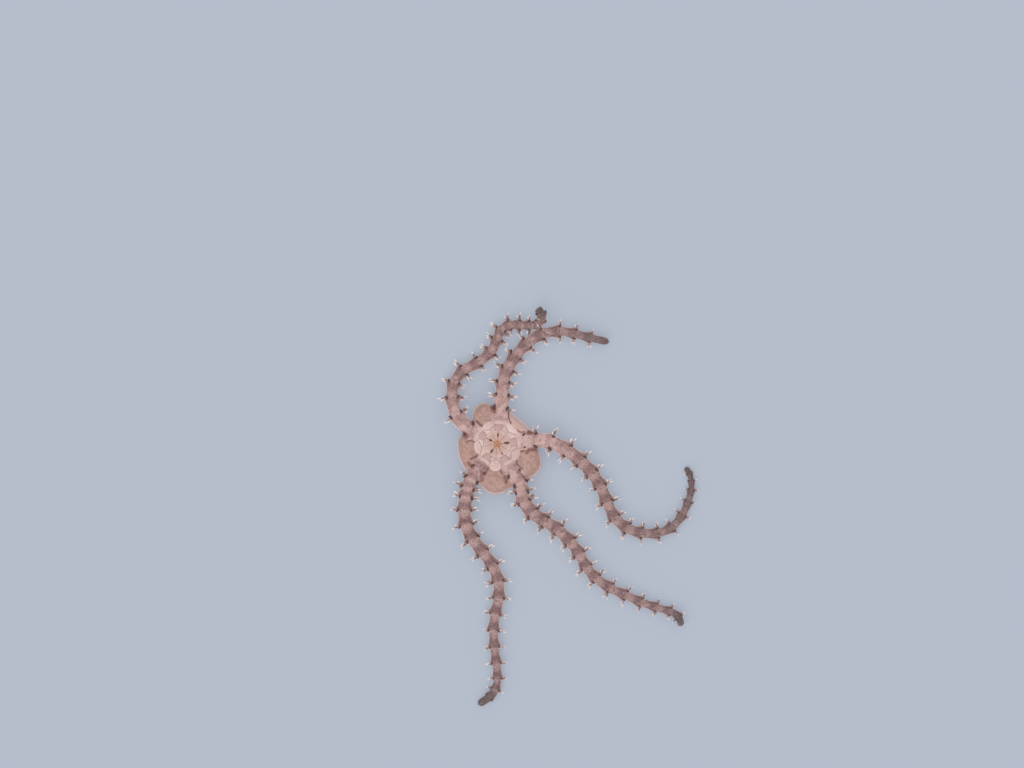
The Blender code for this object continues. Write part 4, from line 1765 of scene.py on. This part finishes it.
@dataclass
class DiscScales:
    """The small overlapping scales of the disc, and the paired shields on its back."""

    disc: Disc
    marks: Marks
    fine: float = 0.050
    coarse: float = 0.110
    # The direction along which the rows are measured out
    measured: float = 180.0
    edge_way: float = 0.47
    # Distances between rows and between neighbours, in radii of a scale
    row_step: float = 1.30
    scale_step: float = 1.50
    jitter: float = 0.12
    tilt: float = math.radians(5.0)
    shield_reach: float = 0.83
    shield_size: Pair = (0.125, 0.120)

    def model(self) -> bpy.types.Object:
        """Model one scale, a thin round plate whose middle rises in two low steps.

        Returns:
            The scale, with a radius of 1.
        """
        clear_selection()
        bpy.ops.mesh.primitive_circle_add(vertices=10, radius=1.0, fill_type="NGON", location=(0, 0, -0.25))
        made = start("scale")
        bpy.ops.mesh.extrude_region_move(TRANSFORM_OT_translate={"value": (0, 0, 0.35)})
        for thickness, lift in ((0.16, 0.12), (0.45, 0.05)):
            bpy.ops.mesh.inset(thickness=thickness, depth=0.0)
            bpy.ops.transform.translate(value=(0, 0, lift))
        return stop(made)

    def build(self) -> None:
        """Cover the disc from the middle of its back to the rosette."""
        fine = Coat("mouth_side_scales", self.model(), seed=31)
        coarse = Coat("back_scales", self.model(), seed=37)
        self.cover(fine, coarse)
        self.finish(fine.build(2), ScaleFinish("tan_scale", (0.372, 0.213, 0.180), (0.470, 0.284, 0.246),
                                               (0.302, 0.165, 0.140), (0.620, 0.400, 0.365)))
        self.finish(coarse.build(2), ScaleFinish("back_scale", (0.310, 0.190, 0.178), (0.410, 0.268, 0.246),
                                                 (0.200, 0.115, 0.105), (0.440, 0.290, 0.268)))
        self.radial_shields()

    def finish(self, made: bpy.types.Object, finish: ScaleFinish) -> None:
        """Dress joined scales with the skin's painted slit shade, its red and pink, and a pale painted rim
        highlight.

        Args:
            made: The joined scales.
            finish: Their finish.
        """
        points = points_of(made)
        degrees = np.degrees(np.arctan2(points[:, 1], points[:, 0]))
        edges = np.array([self.disc.radius(float(angle)) for angle in degrees])
        # A pale painted rim highlight along the disc's outline
        rim = ease(np.hypot(points[:, 0], points[:, 1]), edges * 0.955, edges * 0.985)
        grade(made, "spots", np.c_[self.marks.slit_shares(points), rim])
        for shares, angle in zip(made.data.attributes["grade"].data, degrees):
            shares.color = (*shares.color[:2], self.marks.pink_at(float(angle)), 1.0)
        set_out(made, finish.material(), angle=40)

    def cover(self, fine: Coat, coarse: Coat) -> None:
        """Set rows of scales that grow finer from the back to the mouth side.

        Args:
            fine: The coat of the mouth side.
            coarse: The coat of the back.
        """
        ways = np.linspace(0.0, 1.0, 400)
        spots = [self.disc.surface(self.measured, float(way)) for way in ways]
        lengths = np.cumsum([0.0, *((after - before).length for before, after in zip(spots, spots[1:]))])
        along, row = 0.0, 0
        while along < lengths[-1]:
            way = float(np.interp(along, lengths, ways))
            size = float(np.interp(way, (0.27, 0.50), (self.coarse, self.fine)))
            self.cover_row(coarse if way < self.edge_way else fine, way, size, row)
            along += size * self.row_step
            row += 1

    def cover_row(self, coat: Coat, way: float, size: float, row: int) -> None:
        """Set one ring of scales.

        Args:
            coat: The coat to add them to.
            way: The ring's share of the way from the back to the mouth.
            size: The scales' radius.
            row: The ring's number.
        """
        mean = self.disc.surface(self.measured, way).xy.length
        count = max(int(math.tau * mean / (size * self.scale_step)), 1)
        for step in range(count):
            degrees = 360 * (step + 0.5 * (row % 2)) / count
            degrees += coat.random.uniform(-self.jitter, self.jitter) * 360 / count
            stretch = self.disc.radius(degrees) / self.disc.radius(self.measured)
            if self.is_free(self.disc.surface(degrees, way), way):
                self.set_plate(coat, degrees, way, (size * stretch * coat.random.uniform(0.86, 1.12),) * 2,
                               0.020 if way < self.edge_way else 0.026)

    def is_free(self, spot: Vector, way: float) -> bool:
        """Whether a place is clear of the arms, the rosette, the slits and the shields.

        Args:
            spot: The place.
            way: Its share of the way from the back to the mouth.

        Returns:
            True if it is.
        """
        _, place, side, high = self.marks.locate(spot)
        if abs(side) < 1.12 and place < 0.6 and high > -1.25:
            return False
        if way > 0.6 and spot.xy.length < 0.74:
            return False
        if way < self.edge_way:
            centres = [self.disc.surface(degrees, reach) for degrees, reach, _ in self.shield_places()]
            return all((spot - centre).length > 0.115 for centre in centres)
        return self.marks.slit_shares(np.array([spot]))[0, 0] < 0.45

    def shield_places(self) -> list[tuple[float, float, int]]:
        """Direction, share of the way and hand of every shield on the back.

        Returns:
            One row for each shield.
        """
        ways, radii, _ = zip(*(mark for mark in self.disc.profile if mark[0] <= self.edge_way))
        reach = float(np.interp(self.shield_reach, radii, ways))
        aside = math.degrees(self.shield_size[0] * 0.55)
        return [(route.direction + hand * aside, reach, hand) for route in ROUTES for hand in (-1, 1)]

    def radial_shields(self) -> None:
        """Set the pair of half-moon shields where each arm leaves the back."""
        outline = [Vector((0.75 * max(math.cos(turn), -0.55), math.sin(turn) * 1.3, 0.0))
                   for turn in turns(14)]
        pattern = model_plate("pattern", outline, thick=0.5, crown=0.45, rim=0.20)
        coat = Coat("radial_shields", pattern, seed=43)
        width, length = self.shield_size
        for degrees, way, hand in self.shield_places():
            self.set_plate(coat, degrees, way, (width * hand, length), thick=0.030)
        self.finish(turn_out(coat.build(2)), ScaleFinish("radial_shield", (0.380, 0.245, 0.226),
                                                         (0.500, 0.340, 0.312), (0.240, 0.140, 0.126),
                                                         (0.500, 0.340, 0.312)))

    def set_plate(self, coat: Coat, degrees: float, way: float, size: Pair, thick: float) -> None:
        """Set one scale or shield on the disc's surface, its outer edge raised.

        Args:
            coat: The coat to add it to.
            degrees: Its direction from the mouth.
            way: Its share of the way from the back to the mouth.
            size: Its half width and half length, the width below zero to mirror it.
            thick: Its thickness.
        """
        spot = self.disc.surface(degrees, way)
        across = self.disc.surface(degrees + 1.0, way) - self.disc.surface(degrees - 1.0, way)
        if across.length < 1e-6:
            across = polar(1.0, degrees + 90)
        ways = max(way - 0.01, 0.0), min(way + 0.01, 1.0)
        before, after = (self.disc.surface(degrees, near) for near in ways)
        onward = after - before
        normal = across.cross(onward).normalized()
        side = Side.BACK if way < self.edge_way else Side.MOUTH
        outward = (onward if side is Side.BACK else -onward).normalized()
        turn = Matrix((outward.cross(normal), outward, normal)).transposed().to_4x4()
        tilted = Matrix.Translation(spot) @ turn @ Matrix.Rotation(self.tilt, 4, "X")
        coat.add(tilted @ Matrix.Diagonal((*size, thick, 1.0)), disc_patch(spot, side))


# Stage


@dataclass
class Stage:
    """The ground, the soft light and the camera straight above."""

    centre: Pair = (0.511, 2.086)
    width: float = 35.84
    height: float = 200.0
    # Name, strength, turn in radians and spread in degrees of each light
    lamps: tuple[tuple[str, float, tuple[float, float, float], float], ...] = (
        ("key", 1.05, (0.62, -0.42, 0.0), 70), ("fill", 0.35, (-0.7, 0.6, 0.0), 90))
    sky: float = 0.72

    def build(self) -> None:
        """Set up everything round the animal."""
        self.ground()
        self.light()
        self.camera()

    def ground(self) -> None:
        """A plain pale ground."""
        clear_selection()
        bpy.ops.mesh.primitive_plane_add(size=1.2, location=(0, 0, 0))
        ground = start("ground")
        bpy.ops.mesh.subdivide(number_cuts=3)
        stop(ground)
        ground.data.materials.append(FloorFinish().material())

    def light(self) -> None:
        """One soft light from the upper left, a weaker one opposite, and an even sky."""
        for name, strength, turn, spread in self.lamps:
            bpy.ops.object.light_add(type="SUN", rotation=turn)
            lamp = bpy.context.object
            lamp.name = name
            lamp.data.energy = strength
            lamp.data.angle = math.radians(spread)
        world = bpy.data.worlds.new("sky")
        bpy.context.scene.world = world
        world.use_nodes = True
        sky = world.node_tree.nodes["Background"]
        sky.inputs["Color"].default_value = (1.0, 1.0, 1.0, 1.0)
        sky.inputs["Strength"].default_value = self.sky
        bpy.context.scene.view_settings.view_transform = "Standard"

    def camera(self) -> None:
        """A long lens straight above, with the photograph's framing."""
        lens = bpy.data.cameras.new("camera")
        lens.sensor_width = 36.0
        lens.lens = lens.sensor_width * self.height / self.width
        lens.clip_start = 0.001
        lens.clip_end = 10.0
        camera = bpy.data.objects.new("camera", lens)
        camera.location = (self.centre[0] * METRES, self.centre[1] * METRES, self.height * METRES)
        bpy.context.scene.collection.objects.link(camera)
        bpy.context.scene.camera = camera


# The animal

# Joints between segments in millimetres, from the disc's edge to the tip
ROUTES = (
    Route("arm_a", ((-0.99, 0.50), (-1.44, 1.03), (-1.58, 1.62), (-1.52, 2.13), (-1.18, 2.56),
                    (-0.66, 2.86), (-0.23, 3.22), (-0.02, 3.64), (0.12, 3.97), (0.41, 4.14),
                    (0.77, 4.15), (1.10, 4.14), (1.38, 4.18), (1.54, 4.33), (1.53, 4.55),
                    (1.38, 4.73)), 18.5, 0.16, 0.35, 0.80, 0.18, 3.2, 0.9),
    Route("arm_b", ((0.11, 1.23), (0.17, 1.69), (0.20, 2.15), (0.36, 2.62), (0.65, 3.09),
                    (1.06, 3.51), (1.60, 3.84), (2.20, 3.92), (2.74, 3.83), (3.28, 3.69),
                    (3.90, 3.55)), 11.5, 0.0, 0.10, 0.35, 0.0, 0.9, 1.0),
    # Arm C darkens more along its length than the others: partly age, partly painted shade over its outer
    # half
    Route("arm_c", ((1.33, 0.14), (1.90, 0.05), (2.45, -0.25), (2.92, -0.62), (3.31, -1.03),
                    (3.61, -1.50), (3.84, -2.06), (4.12, -2.60), (4.55, -2.96), (5.07, -3.12),
                    (5.63, -3.12), (6.12, -2.90), (6.48, -2.46), (6.68, -2.00), (6.78, -1.60),
                    (6.78, -1.29), (6.71, -1.04), (6.58, -0.82)), 15, 0.0, 0.0, 0.60, 0.0, 0.9, 1.1, 0.92),
    Route("arm_d", ((0.79, -1.36), (0.84, -1.66), (0.93, -2.02), (1.24, -2.43), (1.68, -2.72),
                    (2.13, -3.02), (2.55, -3.43), (2.87, -3.87), (3.12, -4.33), (3.47, -4.72),
                    (3.96, -5.05), (4.51, -5.31), (5.05, -5.55), (5.58, -5.73), (6.05, -5.87),
                    (6.34, -6.07), (6.43, -6.38)), 16.5, 0.0, 0.10, 0.75, 0.08, 0.9, 0.8),
    Route("arm_e", ((-0.89, -1.22), (-1.02, -1.52), (-1.10, -1.84), (-1.15, -2.32), (-1.09, -2.84),
                    (-0.86, -3.34), (-0.50, -3.80), (-0.16, -4.29), (0.03, -4.84), (0.04, -5.41),
                    (-0.08, -5.97), (-0.14, -6.55), (-0.10, -7.13), (-0.04, -7.69), (0.00, -8.22),
                    (-0.08, -8.60), (-0.31, -8.88), (-0.67, -9.12)), 17.5, 0.0, 0.0, 0.60, 0.22, 1.9, 0.40),
)

# Slits and red patches of the disc in millimetres, then half width and redness; the slits' darkness is
# painted shade
SLITS = (
    (((-0.73, 0.80), (-0.52, 0.61)), 0.028, 0.1), (((-0.92, 0.87), (-0.80, 0.68)), 0.026, 0.2),
    (((-0.16, 1.27), (-0.10, 1.14)), 0.075, 0.75), (((0.38, 1.17), (0.40, 0.91), (0.47, 0.71)), 0.020, 0.25),
    (((0.69, 0.49), (0.81, 0.40), (0.95, 0.42)), 0.020, 0.4), (((1.09, 0.41), (1.34, 0.38)), 0.050, 0.75),
    (((1.08, 0.37), (1.13, 0.36)), 0.040, 0.2), (((0.80, -0.28), (0.95, -0.23)), 0.022, 0.2),
    (((1.03, -0.31), (1.10, -0.20), (1.44, -0.21)), 0.042, 0.6),
    (((0.67, -0.59), (0.70, -0.72), (0.86, -0.88)), 0.020, 0.1),
    (((0.70, -0.98), (0.86, -1.06), (0.94, -1.20)), 0.030, 0.65),
    (((-0.57, -0.89), (-0.54, -1.08), (-0.54, -1.27)), 0.050, 0.5),
    (((-0.33, -0.84), (-0.43, -1.08)), 0.030, 0.45), (((-0.92, -0.53), (-0.71, -0.42)), 0.028, 0.2),
    (((-1.00, -0.68), (-0.87, -0.82)), 0.055, 0.7),
    (((-1.08, 0.07), (-0.92, 0.12), (-0.77, 0.06)), 0.018, 0.3),
    (((-1.18, 0.34), (-1.08, 0.27)), 0.070, 0.75), (((0.11, -0.92), (0.17, -1.04)), 0.022, 0.4),
    (((0.29, -1.15), (0.31, -1.33)), 0.055, 0.45),
    (((0.01, 0.27), (0.02, 0.37)), 0.018, 0.0), (((-0.20, 0.11), (-0.24, 0.13)), 0.026, 0.0),
    (((0.22, 0.02), (0.40, 0.04)), 0.022, 0.0), (((-0.14, -0.20), (-0.22, -0.30)), 0.018, 0.0),
    (((0.14, -0.34), (0.16, -0.38)), 0.016, 0.0),
)


def main() -> None:
    """Build the animal and its stage."""
    logging.basicConfig(level=logging.INFO, format="%(message)s")
    nodes = sorted(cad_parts)
    flesh = tuple(name for name in nodes if not name.startswith("jaw"))
    disc = Disc()
    marks = Marks(disc)
    Skin(disc, marks).build(flesh)
    Mouth().build(tuple(name for name in nodes if name.startswith("jaw")))
    DiscScales(disc, marks).build()
    ArmPlates().build()
    Spines(disc).build()
    TubeFeet().build()
    Stage().build()


if __name__ == "__main__":
    main()
